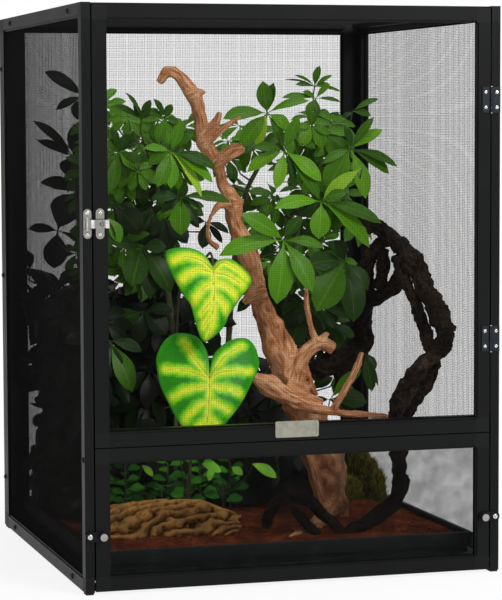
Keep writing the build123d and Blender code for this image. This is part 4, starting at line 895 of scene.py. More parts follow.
@dataclass
class Driftwood:
    """The crooked peeled branch: one skin over all its limbs, with grooves along them and knots."""

    voxel_mm: float = 2.0
    groove_mm: float = 0.9
    knots: int = 44
    seed: int = 11

    def build(self) -> bpy.types.Object:
        """Join the limbs, grow one skin over them and carve it."""
        sheaf = Sheaf()
        runs = [smooth_run(limb, 3.0) for limb in DRIFTWOOD_LIMBS]
        for number, run in enumerate(runs):
            tube(sheaf, run, 14, rough=0.30, seed=number * 3.0, lobe=0.07, lay_mm=110.0)
        piece = sheaf.piece("driftwood_branch", Surfaces.BRANCH)
        skin = piece.modifiers.new("skin", "REMESH")
        skin.mode, skin.voxel_size = "VOXEL", self.voxel_mm * MM
        ease = piece.modifiers.new("ease", "SMOOTH")
        ease.factor, ease.iterations = 0.6, 3
        applied(piece)
        self.carve(piece.data, runs)
        piece.data.shade_smooth()
        return settle(piece, "cabinet", "driftwood", "driftwood")

    def carve(self, mesh: bpy.types.Mesh, runs: list[list[tuple[Vector, float]]]) -> None:
        """Press grooves along the limbs, raise knots, and note where each point lies on its limb."""
        rng = random.Random(self.seed)
        spine = [(place, radius, along, across, other, travelled)
                 for run in runs
                 for (place, radius), (along, across, other), travelled in zip(
                     run, frames_along(run), [3.0 * MM * number for number in range(len(run))])]
        tree = kdtree.KDTree(len(spine))
        for number, joint in enumerate(spine):
            tree.insert(joint[0], number)
        tree.balance()
        knots = [mesh.vertices[rng.randrange(len(mesh.vertices))].co.copy() for _ in range(self.knots)]
        alongs, arounds = [], []
        for vertex in mesh.vertices:
            _, number, _ = tree.find(vertex.co)
            place, radius, along, across, other, travelled = spine[number]
            off = vertex.co - place
            turn = math.atan2(off.dot(other), off.dot(across)) / math.tau
            ahead = travelled + off.dot(along)
            alongs.append(ahead)
            arounds.append(abs(turn) * 2)
            out = (off - along * off.dot(along)).normalized()
            ring = Vector((math.cos(turn * math.tau) * 3.2, math.sin(turn * math.tau) * 3.2, ahead * 38))
            depth = noise.noise(ring) * self.groove_mm + noise.noise(ring * 2.3) * self.groove_mm * 0.5
            reach = 0.6 * radius + 3.0 * MM
            swell = sum(math.exp(-((vertex.co - knot).length / reach) ** 2) for knot in knots)
            vertex.co += out * MM * (depth + min(swell, 1.2) * radius * 0.22 / MM)
        for key, numbers in (("along", alongs), ("around", arounds)):
            mesh.attributes.new(key, "FLOAT", "POINT").data.foreach_set("value", numbers)


@dataclass
class Liana:
    """The dark climbing stem: a flattened, slowly twisting core with rough bark and a few loose strands."""

    sides: int = 20
    bark_mm: float = 1.5
    strands: int = 2
    lay_mm: float = 74.0
    core_share: float = 0.92  # the core's radius, as a share of the limb's
    strand_share: float = 0.33

    def build(self) -> bpy.types.Object:
        """Make the core of every limb, wrap the strands round it and roughen the bark."""
        sheaf = Sheaf()
        for number, limb in enumerate(LIANA_LIMBS):
            run = smooth_run(limb, 1.9)
            core = [(place, radius * self.core_share) for place, radius in run]
            tube(sheaf, core, self.sides, rough=0.42, seed=number * 7.0, lobe=0.20,
                 lay_mm=self.lay_mm + 9 * number)
            for strand in range(self.strands):
                tube(sheaf, self.strand(run, number, strand), 8, rough=0.5, seed=number * 7.0 + strand + 1)
        for place, point in enumerate(sheaf.points):
            rough = Vector([noise.noise(point * 260 + Vector((way * 40.0, 0, 0))) for way in range(3)])
            fine = Vector([noise.noise(point * 620 + Vector((way * 40.0, 9, 0))) for way in range(3)])
            sheaf.points[place] = point + (rough + fine * 0.5) * self.bark_mm * MM
        return settle(sheaf.piece("liana_stem", Surfaces.LIANA), "cabinet", "liana_bark", "liana")

    def strand(self, run: list[tuple[Vector, float]], number: int, strand: int) -> list[tuple[Vector, float]]:
        """One loose strand that winds unevenly round a limb."""
        wound, travelled = [], 0.0
        for step, ((place, radius), (_, a, b)) in enumerate(zip(run, frames_along(run))):
            travelled += (place - run[max(step - 1, 0)][0]).length
            drift = 1.6 * noise.noise(place * 16 + Vector((strand * 9.0, number, 0)))
            turn = math.tau * (travelled / (self.lay_mm * MM) + strand / self.strands) + number + drift
            swing = 0.78 + 0.26 * noise.noise(place * 30 + Vector((0, strand * 5.0, number)))
            off = (a * math.cos(turn) + b * math.sin(turn)) * radius * swing
            wound.append((place + off, radius * self.strand_share))
        return wound


@dataclass
class CorkBark:
    """A half tube of cork bark lying over a hollow, its ridges slanting along it, its ends ragged."""

    left_mm: float = -176.0
    right_mm: float = -26.0
    depth_mm: float = 152.0
    low_mm: float = 26.0
    radius_mm: float = 44.0
    thick_mm: float = 7.0
    inset_mm: float = 4.0  # keeps the tops of the ridges within the radius
    relief_mm: float = 8.0  # from the bottom of a crack to the top of a ridge
    ragged_mm: float = 16.0  # how unevenly the ends are broken
    swell_mm: float = 4.0
    left_taper: tuple[float, float] = (0.30, 16.0)  # where it starts along the tube, and its rate
    right_taper: tuple[float, float] = (0.78, 60.0)
    ridge_mm: float = 15.0  # from one ridge to the next
    slant: float = 0.42  # millimetres a ridge climbs for each one it runs to the right
    steps: int = 120
    arc: int = 90

    def ridge(self, x: float, climb: float) -> float:
        """How much of a ridge stands at a place of the skin, from 0 in a crack to 1."""
        wander = 0.9 * noise.noise(Vector((x * 0.03, climb * 0.05, 1.7)))
        wander += 0.35 * noise.noise(Vector((x * 0.11, climb * 0.12, 5.1)))
        wave = abs(math.sin(math.pi * ((climb - self.slant * x) / self.ridge_mm + wander)))
        return wave ** 0.6

    def build(self) -> bpy.types.Object:
        """Shape the outer ridges, the smoother hollow and the broken ends."""
        sheaf, points, ridges = Sheaf(), [], []
        for side in range(2 * self.arc):
            outside = side < self.arc
            share = side / (self.arc - 1) if outside else (2 * self.arc - 1 - side) / (self.arc - 1)
            angle = math.pi * share
            climb = angle * self.radius_mm
            for step in range(self.steps + 1):
                t = step / self.steps
                ragged = self.ragged_mm * noise.noise(Vector((share * 7, 3 if t < 0.5 else 9, 0)))
                x = self.left_mm + (self.right_mm - self.left_mm) * t + ragged * (2 * t - 1) * abs(2 * t - 1)
                swell = self.swell_mm * noise.noise(Vector((x * 0.016, share * 3, 4.0)))
                taper = (self.left_taper[1] * max(0.0, self.left_taper[0] - t)
                         + self.right_taper[1] * max(0.0, t - self.right_taper[0]))
                rise = self.ridge(x, climb)
                if outside:
                    radius = self.radius_mm - self.inset_mm - taper + swell
                    radius += self.relief_mm * (rise - 0.6)
                else:
                    radius = self.radius_mm - self.thick_mm - 2.0 - taper + swell
                points.append(spot(x, self.depth_mm - radius * math.cos(angle),
                                   self.low_mm + radius * math.sin(angle)))
                ridges.append(rise if outside else 0.25)
        row = self.steps + 1
        faces = []
        for side in range(2 * self.arc):
            after = (side + 1) % (2 * self.arc)
            for step in range(self.steps):
                faces.append((side * row + step, side * row + step + 1, after * row + step + 1,
                              after * row + step))
        for side in range(self.arc - 1):
            inner, inner_after = 2 * self.arc - 1 - side, 2 * self.arc - 2 - side
            faces.append((side * row, (side + 1) * row, inner_after * row, inner * row))
            end = row - 1
            faces.append((inner * row + end, inner_after * row + end, (side + 1) * row + end,
                          side * row + end))
        sheaf.add(points, faces, ridge=ridges)
        return settle(sheaf.piece("cork_bark_shell", Surfaces.CORK), "cabinet", "cork", "cork_bark")


@dataclass
class SoilBed:
    """Coconut fibre in the tray: a lumpy bed, banked up a little round the wood, with loose chips."""

    half_mm: float = 202.0
    near_mm: float = 35.0
    far_mm: float = 417.0
    low_mm: float = 19.2
    top_mm: float = 33.0
    cell_mm: float = 3.4
    chips: int = 2600
    seed: int = 5

    def height(self, x: float, depth: float) -> float:
        """The bed's surface at a place, in millimetres."""
        lumps = 2.0 * noise.noise(Vector((x * 0.03, depth * 0.03, 0.5)))
        crumbs = 1.3 * noise.noise(Vector((x * 0.16, depth * 0.16, 2.5)))
        bank = 4.0 * math.exp(-(((x - 92) / 38) ** 2 + ((depth - 180) / 40) ** 2))
        heap = 5.0 * math.exp(-(((x + 120) / 60) ** 2 + ((depth - 96) / 22) ** 2))
        return self.top_mm + lumps + crumbs + bank + heap

    def build(self) -> bpy.types.Object:
        """Make the bed's closed block, then scatter the chips on it."""
        sheaf = Sheaf()
        columns = round(2 * self.half_mm / self.cell_mm)
        rows = round((self.far_mm - self.near_mm) / self.cell_mm)
        points, faces = [], []
        for row in range(rows + 1):
            depth = self.near_mm + (self.far_mm - self.near_mm) * row / rows
            for column in range(columns + 1):
                x = -self.half_mm + 2 * self.half_mm * column / columns
                points.append(spot(x, depth, self.height(x, depth)))
        wide = columns + 1
        for row in range(rows):
            for column in range(columns):
                start = row * wide + column
                faces.append((start, start + 1, start + wide + 1, start + wide))
        rim = [*range(wide), *(row * wide + columns for row in range(1, rows + 1)),
               *(rows * wide + column for column in range(columns - 1, -1, -1)),
               *(row * wide for row in range(rows - 1, 0, -1))]
        foot = len(points)
        points += [Vector((points[corner].x, points[corner].y, self.low_mm * MM)) for corner in rim]
        for number in range(len(rim)):
            after = (number + 1) % len(rim)
            faces.append((rim[after], rim[number], foot + number, foot + after))
        faces.append(tuple(foot + number for number in reversed(range(len(rim)))))
        sheaf.add(points, faces)
        self.scatter(sheaf)
        return settle(sheaf.piece("coconut_soil_bed", Surfaces.SOIL), "cabinet", "coco_soil", "substrate")

    def scatter(self, sheaf: Sheaf) -> None:
        """Lay loose chips and fibres over the bed."""
        rng = random.Random(self.seed)
        for _ in range(self.chips):
            x = rng.uniform(-self.half_mm + 4, self.half_mm - 4)
            depth = self.near_mm + 4 + (self.far_mm - self.near_mm - 8) * rng.random() ** 1.4
            long, wide, thick = rng.uniform(1.5, 5.5), rng.uniform(0.5, 1.6), rng.uniform(0.4, 1.1)
            turn = Matrix.Rotation(rng.uniform(0, math.tau), 3, "Z") @ Matrix.Rotation(
                rng.uniform(-0.5, 0.5), 3, "Y")
            centre = spot(x, depth, self.height(x, depth) + 0.35)
            points = [centre + turn @ (Vector((sx * long * (1 - 0.3 * sy), sy * wide, sz * thick)) * 0.5 * MM)
                      for sx in (-1, 1) for sy in (-1, 1) for sz in (-1, 1)]
            sheaf.add(points, [(0, 1, 3, 2), (4, 6, 7, 5), (0, 4, 5, 1), (2, 3, 7, 6), (0, 2, 6, 4),
                               (1, 5, 7, 3)])


# ---------------------------------------------------------------------------- plants
# each whorl: the hub's x, depth and z, then for each leaflet where its tip lies to the right of the hub
# and above it, how wide it is, all in millimetres, and its tone from 0, dark, to 100, young and lit;
# the tone is partly the leaflet's own colour and partly painted light and shade, so the near-black
# leaflets at the back are painted shade
WHORLS: tuple[tuple[Point, tuple[tuple[float, float, float, float], ...]], ...] = (
    ((-115, 200, 482), ((-20, 30, 7, 35), (-32, 16, 9, 30), (10, 22, 9, 30), (19, 12, 10, 35), (-10, 17,
     8, 30), (6, -13, 10, 45))),
    ((-92, 188, 484), ((15, -6, 10, 35), (8, 15, 9, 35), (-13, 21, 8, 30), (14, -26, 12, 42), (-9, -28,
     12, 50), (24, -14, 13, 45), (-18, 6, 10, 35), (3, -30, 13, 55))),
    ((-92, 160, 448), ((43, -34, 15, 60), (31, -49, 11, 80), (-11, -22, 12, 74), (-1, -40, 14, 56),
     (-18, -38, 15, 42), (47, -19, 16, 30), (-31, 4, 10, 55), (8, 32, 13, 50), (24, 20, 12, 35), (-26,
     -15, 13, 40))),
    ((-141, 200, 447), ((-9, 27, 10, 25), (12, 20, 11, 26), (-12, 14, 13, 35), (16, -18, 14, 50), (-14,
     -22, 13, 35), (23, 12, 11, 25), (-11, -43, 14, 35), (8, -29, 14, 30), (27, -12, 11, 30))),
    ((-78, 172, 399), ((-34, -2, 14, 22), (-2, -42, 21, 45), (52, -6, 14, 32), (21, -14, 7, 20), (-25,
     -18, 10, 10), (18, -33, 8, 14), (6, -18, 11, 24))),
    ((-26, 262, 367), ((26, -13, 10, 8), (-18, 2, 9, 10), (-5, -30, 15, 20), (18, -24, 8, 6))),
    ((-137, 250, 389), ((29, -34, 30, 12), (14, -36, 13, 10), (29, -11, 11, 12))),
    ((-167, 150, 380), ((15, -29, 16, 42), (5, -32, 13, 26))),
    ((-88, 262, 383), ((-15, -44, 17, 14), (2, -42, 16, 10), (-19, -20, 11, 12))),
    ((-78, 250, 372), ((25, -28, 21, 6), (6, -38, 17, 12), (-14, -20, 13, 8))),
    ((-106, 238, 340), ((-15, -42, 27, 28), (29, -50, 27, 20), (-38, 6, 13, 22), (26, 1, 17, 20), (6,
     -57, 18, 12))),
    ((-102, 250, 268), ((-43, -20, 29, 22), (24, -26, 25, 10), (-9, -36, 16, 10), (32, 0, 18, 8))),
    ((-155, 190, 242), ((22, -56, 22, 34), (34, -12, 15, 16), (8, -40, 15, 14))),
    ((50, 205, 447), ((-44, -23, 16, 62), (-13, -42, 14, 66), (40, -34, 17, 62), (15, 38, 13, 50), (39,
     -54, 16, 38), (-39, 4, 13, 38), (9, -39, 10, 24))),
    ((36, 225, 489), ((-54, -6, 19, 48), (-8, 36, 17, 40), (5, 34, 12, 30), (46, 14, 12, 48), (26, -19,
     16, 62), (-35, -39, 19, 48), (-14, -38, 12, 78), (16, -38, 12, 36))),
    ((116, 300, 520), ((-27, 13, 5, 36), (-38, 8, 3, 34), (4, 24, 9, 40), (20, 13, 6, 40), (18, 2, 7,
     44), (30, -6, 5, 36), (-24, 2, 7, 38))),
    ((114, 290, 506), ((28, -4, 6, 34), (-42, 1, 9, 40), (16, 17, 7, 44), (-17, 8, 8, 38), (-1, -22, 8,
     34), (-13, -20, 10, 40))),
    ((125, 300, 480), ((26, 6, 6, 28), (27, -27, 19, 38), (21, 10, 6, 26), (3, -29, 10, 30))),
    ((96, 250, 474), ((-15, -22, 14, 62), (13, -25, 16, 50), (1, 17, 11, 44), (-16, -1, 10, 52), (21,
     -9, 11, 44))),
    ((138, 235, 448), ((36, 22, 13, 62), (26, 36, 10, 42), (51, -20, 13, 36), (42, -28, 17, 36), (-37,
     -16, 11, 48), (-31, -46, 26, 50), (14, -56, 19, 60), (-9, 27, 10, 30))),
    ((145, 215, 427), ((-49, -35, 15, 76),)),
    ((172, 330, 491), ((31, 15, 8, 42), (21, -5, 11, 34), (-12, -8, 7, 26))),
    ((90, 195, 390), ((-60, -6, 19, 62), (-5, -41, 22, 62), (50, -51, 22, 52), (64, -24, 17, 34), (-26,
     -11, 9, 20), (28, 11, 13, 40))),
    ((32, 150, 350), ((-53, 30, 20, 52), (-75, -15, 22, 58), (-10, -69, 26, 52), (28, -56, 22, 46), (42,
     -8, 15, 40), (20, 26, 14, 28))),
    ((121, 205, 322), ((-39, -54, 34, 40), (-49, -3, 25, 24), (4, -67, 29, 22), (-15, 25, 18, 20), (23,
     -32, 20, 22))),
    ((82, 250, 263), ((-13, -39, 25, 22), (24, -30, 18, 12), (-22, -20, 14, 12))),
    ((113, 235, 163), ((37, 33, 14, 50), (43, -4, 23, 20), (21, -18, 21, 16), (-28, -4, 11, 12))),
    ((164, 262, 213), ((6, -45, 14, 30), (14, -39, 5, 20), (-18, -29, 14, 14), (12, -19, 9, 26))),
    ((-136, 395, 509), ((-48, 30, 15, 6), (-34, -15, 12, 6), (-10, -26, 19, 6), (18, 20, 12, 10))),
    ((-150, 395, 439), ((-50, 43, 12, 6), (-44, 20, 11, 5), (6, 42, 20, 5), (-9, -21, 23, 5), (22, 8,
     14, 8))),
    ((-134, 400, 398), ((-58, 12, 18, 4), (16, 19, 14, 8), (-4, -42, 16, 5))),
    ((-167, 404, 353), ((-37, 3, 12, 4), (-6, -44, 27, 4), (18, 43, 35, 5), (30, -18, 9, 4))),
    ((-199, 412, 307), ((35, -27, 20, 4), (-5, 24, 12, 4))),
    ((-170, 405, 284), ((-36, -10, 16, 4), (30, -12, 23, 4), (2, -46, 23, 4), (-22, -57, 23, 4))),
)
STEMS: tuple[Limb, ...] = (
    ((-40, 300, 30, 4.5), (-44, 300, 150, 4), (-60, 290, 260, 3.5), (-72, 282, 350, 3), (-82, 268, 430, 2.4)),
    ((10, 320, 30, 4.5), (14, 318, 180, 4), (20, 312, 300, 3.4), (30, 300, 390, 2.8), (46, 270, 440, 2.2)),
    ((66, 300, 30, 4.5), (72, 300, 170, 4), (84, 300, 290, 3.4), (104, 300, 400, 2.8), (122, 302, 470, 2.2)),
    ((-150, 300, 30, 4), (-156, 300, 180, 3.6), (-164, 290, 320, 3), (-172, 280, 420, 2.4)),
)
CABIN_LOW, CABIN_HIGH = spot(-213, 16, 34), spot(213, 428, 584)  # leaves stay inside the screens


def blade(sheaf: Sheaf, foot: Vector, tip: Vector, wide: float, look: Vector, tone: float,
          arch: float = 0.10, stalk: float = 0.10, fullest: float = 1.2, steps: int = 8) -> None:
    """Add one leaf blade, arched along its midrib, folded a little along it and wavy at its margin.

    Args:
        sheaf: where it goes.
        foot: where its stalk starts.
        tip: where it ends.
        wide: its greatest width.
        look: roughly the way its upper side faces.
        tone: its colour, from 0 for dark to 1 for young and lit, partly its own colour and partly painted
            light and shade.
        arch: how far its middle rises over the straight line, as a share of the length.
        stalk: the share of the length that is bare stalk.
        fullest: above 1 puts the widest part nearer the tip.
        steps: stations along the blade.
    """
    reach = tip - foot
    across = reach.cross(look).normalized()
    above = across.cross(reach).normalized()
    points, acrosses, faces = [], [], []
    for step in range(steps + 1):
        t = step / steps
        place = foot + reach * t + above * (4 * t * (1 - t) * arch * reach.length)
        bare = max(0.0, (t - stalk) / (1 - stalk))
        half = wide / 2 * max(0.0, math.sin(math.pi * min(bare, 1.0) ** fullest)) ** 0.7
        half = max(half, 0.45 * MM if step < steps else 0.1 * MM)
        for share in (-1.0, -0.5, 0.0, 0.5, 1.0):
            fold = half * (0.16 * abs(share) + 0.07 * share * math.sin(step * 1.9 + share * 3))
            held = zip(place + across * half * share + above * fold, CABIN_LOW, CABIN_HIGH)
            points.append(Vector([min(max(value, low), high) for value, low, high in held]))
            acrosses.append(abs(share))
    for step in range(steps):
        for column in range(4):
            start = step * 5 + column
            faces.append((start, start + 1, start + 6, start + 5))
    sheaf.add(points, faces, across=acrosses, tone=[tone] * len(points))


@dataclass(frozen=True)
class Thicket:
    """A stretch of the umbrella plant's crown that is filled with more whorls."""

    count: int
    low: Point
    high: Point
    long: tuple[float, float]
    tone: float


@dataclass
class UmbrellaPlant:
    """The umbrella plant: stems, thin stalks and whorls of drooping leaflets."""

    seed: int = 23
    lean: float = 0.18  # how far a traced leaflet's tip comes forward, as a share of its length
    # the first three thickets, at tone 0, fill the back and the lower left with near-black whorls: painted
    # shade for the dense shaded foliage there
    thickets: tuple[Thicket, ...] = (
        Thicket(80, (-190, 290, 50), (-20, 405, 300), (40, 56), 0.0),
        Thicket(90, (-120, 300, 45), (110, 405, 180), (42, 58), 0.0),
        Thicket(30, (-198, 200, 50), (-150, 405, 270), (34, 48), 0.0),
        Thicket(36, (-160, 250, 300), (-45, 400, 450), (24, 34), 0.36),
        Thicket(26, (-150, 250, 410), (-40, 380, 500), (22, 32), 0.42),
        Thicket(44, (30, 250, 300), (165, 390, 490), (26, 36), 0.42),
        Thicket(22, (60, 262, 160), (150, 390, 290), (28, 40), 0.24),
    )

    def build(self) -> None:
        """Make the stems with their stalks, then the leaves."""
        rng = random.Random(self.seed)
        stems, leaves = Sheaf(), Sheaf()
        joints = []
        for number, stem in enumerate(STEMS):
            run = smooth_run(stem, 8.0)
            joints += [place for place, _ in run[4:]]
            tube(stems, run, 9, rough=0.2, seed=number)
        for (x, depth, z), leaflets in WHORLS:
            hub = spot(x, depth, z)
            self.stalk(stems, joints, hub, Vector((0, -0.5, 0.85)))
            for right, rise, wide, tone in leaflets:
                reach = math.hypot(right, rise)
                near = depth - reach * (self.lean + rng.uniform(-0.12, 0.12))
                look = Vector((rng.uniform(-0.35, 0.15), -0.75, rng.uniform(0.4, 0.8)))
                blade(leaves, hub, spot(x + right, near, z + rise), wide * 1.08 * MM, look,
                      tone / 100 + rng.uniform(-0.03, 0.03))
        for thicket in self.thickets:
            for _ in range(thicket.count):
                self.scattered(stems, leaves, joints, thicket, rng)
        settle(stems.piece("umbrella_plant_stems", Surfaces.STEM), "cabinet", "plant_stem", "umbrella_stems",
               "leaf_stalks")
        settle(leaves.piece("umbrella_plant_leaves", Surfaces.UMBRELLA), "cabinet", "umbrella_leaf",
               "umbrella_leaves")

    def stalk(self, stems: Sheaf, joints: list[Vector], hub: Vector, up: Vector) -> None:
        """Hang a thin stalk between the closest stem and a hub."""
        near = min(joints, key=lambda joint: (joint - hub).length + 2.0 * max(0.0, joint.z - hub.z))
        bend = hub - up * 14 * MM
        middle = (near + bend) / 2 - Vector((0, 0, 0.1 * (bend - near).length))
        tube(stems, [(near, 1.2 * MM), (middle, 0.95 * MM), (bend, 0.85 * MM), (hub, 0.8 * MM)], 6)

    def scattered(self, stems: Sheaf, leaves: Sheaf, joints: list[Vector], thicket: Thicket,
                  rng: random.Random) -> None:
        """Add one ring of seven to nine leaflets somewhere in a thicket."""
        hub = spot(*(rng.uniform(a, b) for a, b in zip(thicket.low, thicket.high)))
        up = Vector((rng.uniform(-0.5, 0.5), rng.uniform(-1.0, -0.3), rng.uniform(0.3, 1.0))).normalized()
        self.stalk(stems, joints, hub, up)
        side = up.orthogonal().normalized()
        other = up.cross(side)
        count, first = rng.choice((7, 8, 9)), rng.uniform(0, math.tau)
        for number in range(count):
            turn = first + math.tau * number / count + rng.uniform(-0.12, 0.12)
            droop = rng.uniform(0.2, 0.6)
            way = (side * math.cos(turn) + other * math.sin(turn)) * math.cos(droop) - up * math.sin(droop)
            long = rng.uniform(*thicket.long) * MM
            blade(leaves, hub, hub + way * long, 0.42 * long, up, thicket.tone + rng.uniform(-0.03, 0.08),
                  stalk=0.14)


@dataclass(frozen=True)
class HeartLeaf:
    """One heart-shaped leaf: places in its plane are millimetres right of and above the veins' hub."""

    hub: Point
    look: Point
    tone: float
    outline: tuple[tuple[float, float], ...]
    veins: tuple[tuple[tuple[float, float], ...], ...]
    rings: int = 26
    rays: int = 150
    band_mm: float = 16.0  # the unit in which the distances to veins and margin are kept

    def curve(self, knots: tuple[tuple[float, float], ...], count: int, closed: bool = False) -> list[Vector]:
        """Places evenly along a smooth curve through knots."""
        held = [Vector((x, y, 0)) for x, y in knots]
        ends = [held[-1], *held, held[0], held[1]] if closed else [held[0], *held, held[-1]]
        spans = len(ends) - 3
        result = []
        for number in range(count):
            span, t = divmod(number * spans / count, 1)
            before, a, b, after = ends[int(span) : int(span) + 4]
            result.append(0.5 * (2 * a + (b - before) * t + (2 * before - 5 * a + 4 * b - after) * t * t
                                 + (3 * a - before - 3 * b + after) * t ** 3))
        return result

    def nearest(self, places: list[Vector]) -> kdtree.KDTree:
        """A tree that finds the closest of some places."""
        tree = kdtree.KDTree(len(places))
        for number, place in enumerate(places):
            tree.insert(place, number)
        tree.balance()
        return tree

    def add(self, sheaf: Sheaf) -> None:
        """Add the blade: sunk along its veins, puckered between them and curled back at its edge."""
        look = Vector(self.look).normalized()
        right = Vector((0, 0, 1)).cross(-look).normalized() * -1
        up = look.cross(right).normalized()
        middle = spot(*self.hub)
        rim = self.curve(self.outline, self.rays, closed=True)
        veins = self.nearest([place for vein in self.veins for place in self.curve(vein, 90)])
        edge = self.nearest(rim)
        points, vein_far, margin_far, faces = [], [], [], []
        for ring in range(self.rings + 1):
            share = ring / self.rings
            for corner in rim:
                flat = corner * share
                to_vein, to_edge = veins.find(flat)[2], edge.find(flat)[2]
                pucker = 0.9 * (1 - math.exp(-to_vein / 3.0)) * min(1.0, to_edge / 6.0)
                curl = -3.2 * share ** 5 - 0.0016 * flat.x * flat.x - 0.0012 * min(flat.y, 0.0) ** 2
                points.append(middle + (right * flat.x + up * flat.y + look * (pucker + curl + 1.5)) * MM)
                vein_far.append(to_vein / self.band_mm)
                margin_far.append(to_edge / self.band_mm)
        for ring in range(self.rings):
            for ray in range(self.rays):
                start, after = ring * self.rays, (ray + 1) % self.rays
                faces.append((start + ray, start + after, start + self.rays + after, start + self.rays + ray))
        sheaf.add(points, faces, vein=vein_far, margin=margin_far, tone=[self.tone] * len(points))


@dataclass
class HeartPlant:
    """Two large variegated leaves on long stalks in front of the wood."""

    leaves: tuple[HeartLeaf, ...] = (
        HeartLeaf((-57, 117, 320), (0.05, -0.95, 0.30), 0.0, (
            (0, 6), (5, 11), (12, 14), (21, 14), (30, 9), (38, 2), (43, -5), (44, -11), (40, -18), (32, -26),
            (23, -37), (14, -48), (9, -58), (0, -67), (-11, -74), (-15, -75), (-19, -71), (-22, -62),
            (-25, -49), (-28, -35), (-35, -24), (-42, -9), (-47, 4), (-50, 15), (-49, 24), (-43, 27),
            (-33, 28), (-23, 27), (-13, 23), (-7, 18), (-3, 11)), (
            ((0, 6), (0, 0), (-1, -16), (-3, -32), (-6, -54), (-12, -72)),
            ((0, 1), (11, 9), (27, 2), (38, -9)),
            ((0, -2), (14, -5), (29, -14), (36, -21)),
            ((-1, -14), (11, -17), (22, -27), (26, -33)),
            ((-2, -27), (8, -37), (13, -46)),
            ((-1, 2), (-15, 13), (-30, 17), (-44, 13)),
            ((-1, -2), (-15, 2), (-28, -2), (-39, -11)),
            ((-1, -14), (-11, -17), (-20, -26), (-26, -34)),
            ((-2, -30), (-9, -36), (-18, -46)),
            ((-4, -43), (-10, -51), (-17, -61)))),
        HeartLeaf((-61, 121, 205), (-0.05, -0.92, 0.38), 1.0, (
            (1, 6), (4, 18), (8, 27), (15, 34), (25, 41), (37, 45), (48, 44), (55, 36), (58, 25), (58, 14),
            (52, 2), (44, -12), (36, -25), (26, -38), (13, -52), (-2, -69), (-12, -78), (-22, -71),
            (-31, -56), (-40, -39), (-47, -22), (-53, -5), (-55, 12), (-55, 25), (-50, 37), (-42, 47),
            (-32, 52),
            (-19, 51), (-8, 46), (-2, 36), (1, 26), (0, 15)), (
            ((0, 6), (0, 0), (-1, -11), (-3, -27), (-5, -43), (-8, -57), (-12, -75)),
            ((-1, 1), (-8, 11), (-17, 25), (-25, 42)),
            ((-2, -1), (-14, 5), (-29, 9), (-48, 12)),
            ((-2, -9), (-14, -11), (-29, -14), (-44, -22)),
            ((-3, -27), (-14, -31), (-24, -39), (-32, -48)),
            ((-5, -44), (-12, -50), (-20, -60)),
            ((1, 1), (9, 12), (20, 24), (40, 36)),
            ((1, -1), (12, 5), (27, 7), (48, 6)),
            ((-1, -10), (10, -11), (24, -14), (38, -22)),
            ((-3, -27), (7, -30), (17, -36), (25, -40)),
            ((-5, -46), (4, -51), (8, -57)))),
    )
    stalks: tuple[Limb, ...] = (
        ((-57, 116.5, 321, 1.3), (-50, 150, 336, 1.4), (-46, 190, 330, 1.5), (-58, 262, 280, 1.8),
         (-58, 282, 30, 2.2)),
        ((-61, 120.5, 206, 1.3), (-56, 150, 214, 1.4), (-58, 190, 190, 1.6), (-56, 236, 30, 1.8)),
    )

    def build(self) -> None:
        """Make both leaves, then their stalks."""
        blades, stalks = Sheaf(), Sheaf()
        for leaf in self.leaves:
            leaf.add(blades)
        piece = blades.piece("heart_leaf_pair", Surfaces.HEART)
        thick = piece.modifiers.new("thick", "SOLIDIFY")
        thick.thickness, thick.offset = 0.4 * MM, 0.0
        settle(piece, "cabinet", "heart_leaf", "heart_leaves")
        for stalk in self.stalks:
            tube(stalks, smooth_run(stalk, 5.0), 8)
        settle(stalks.piece("heart_leaf_stalks", Surfaces.STEM), "cabinet", "plant_stem", "heart_stalks")


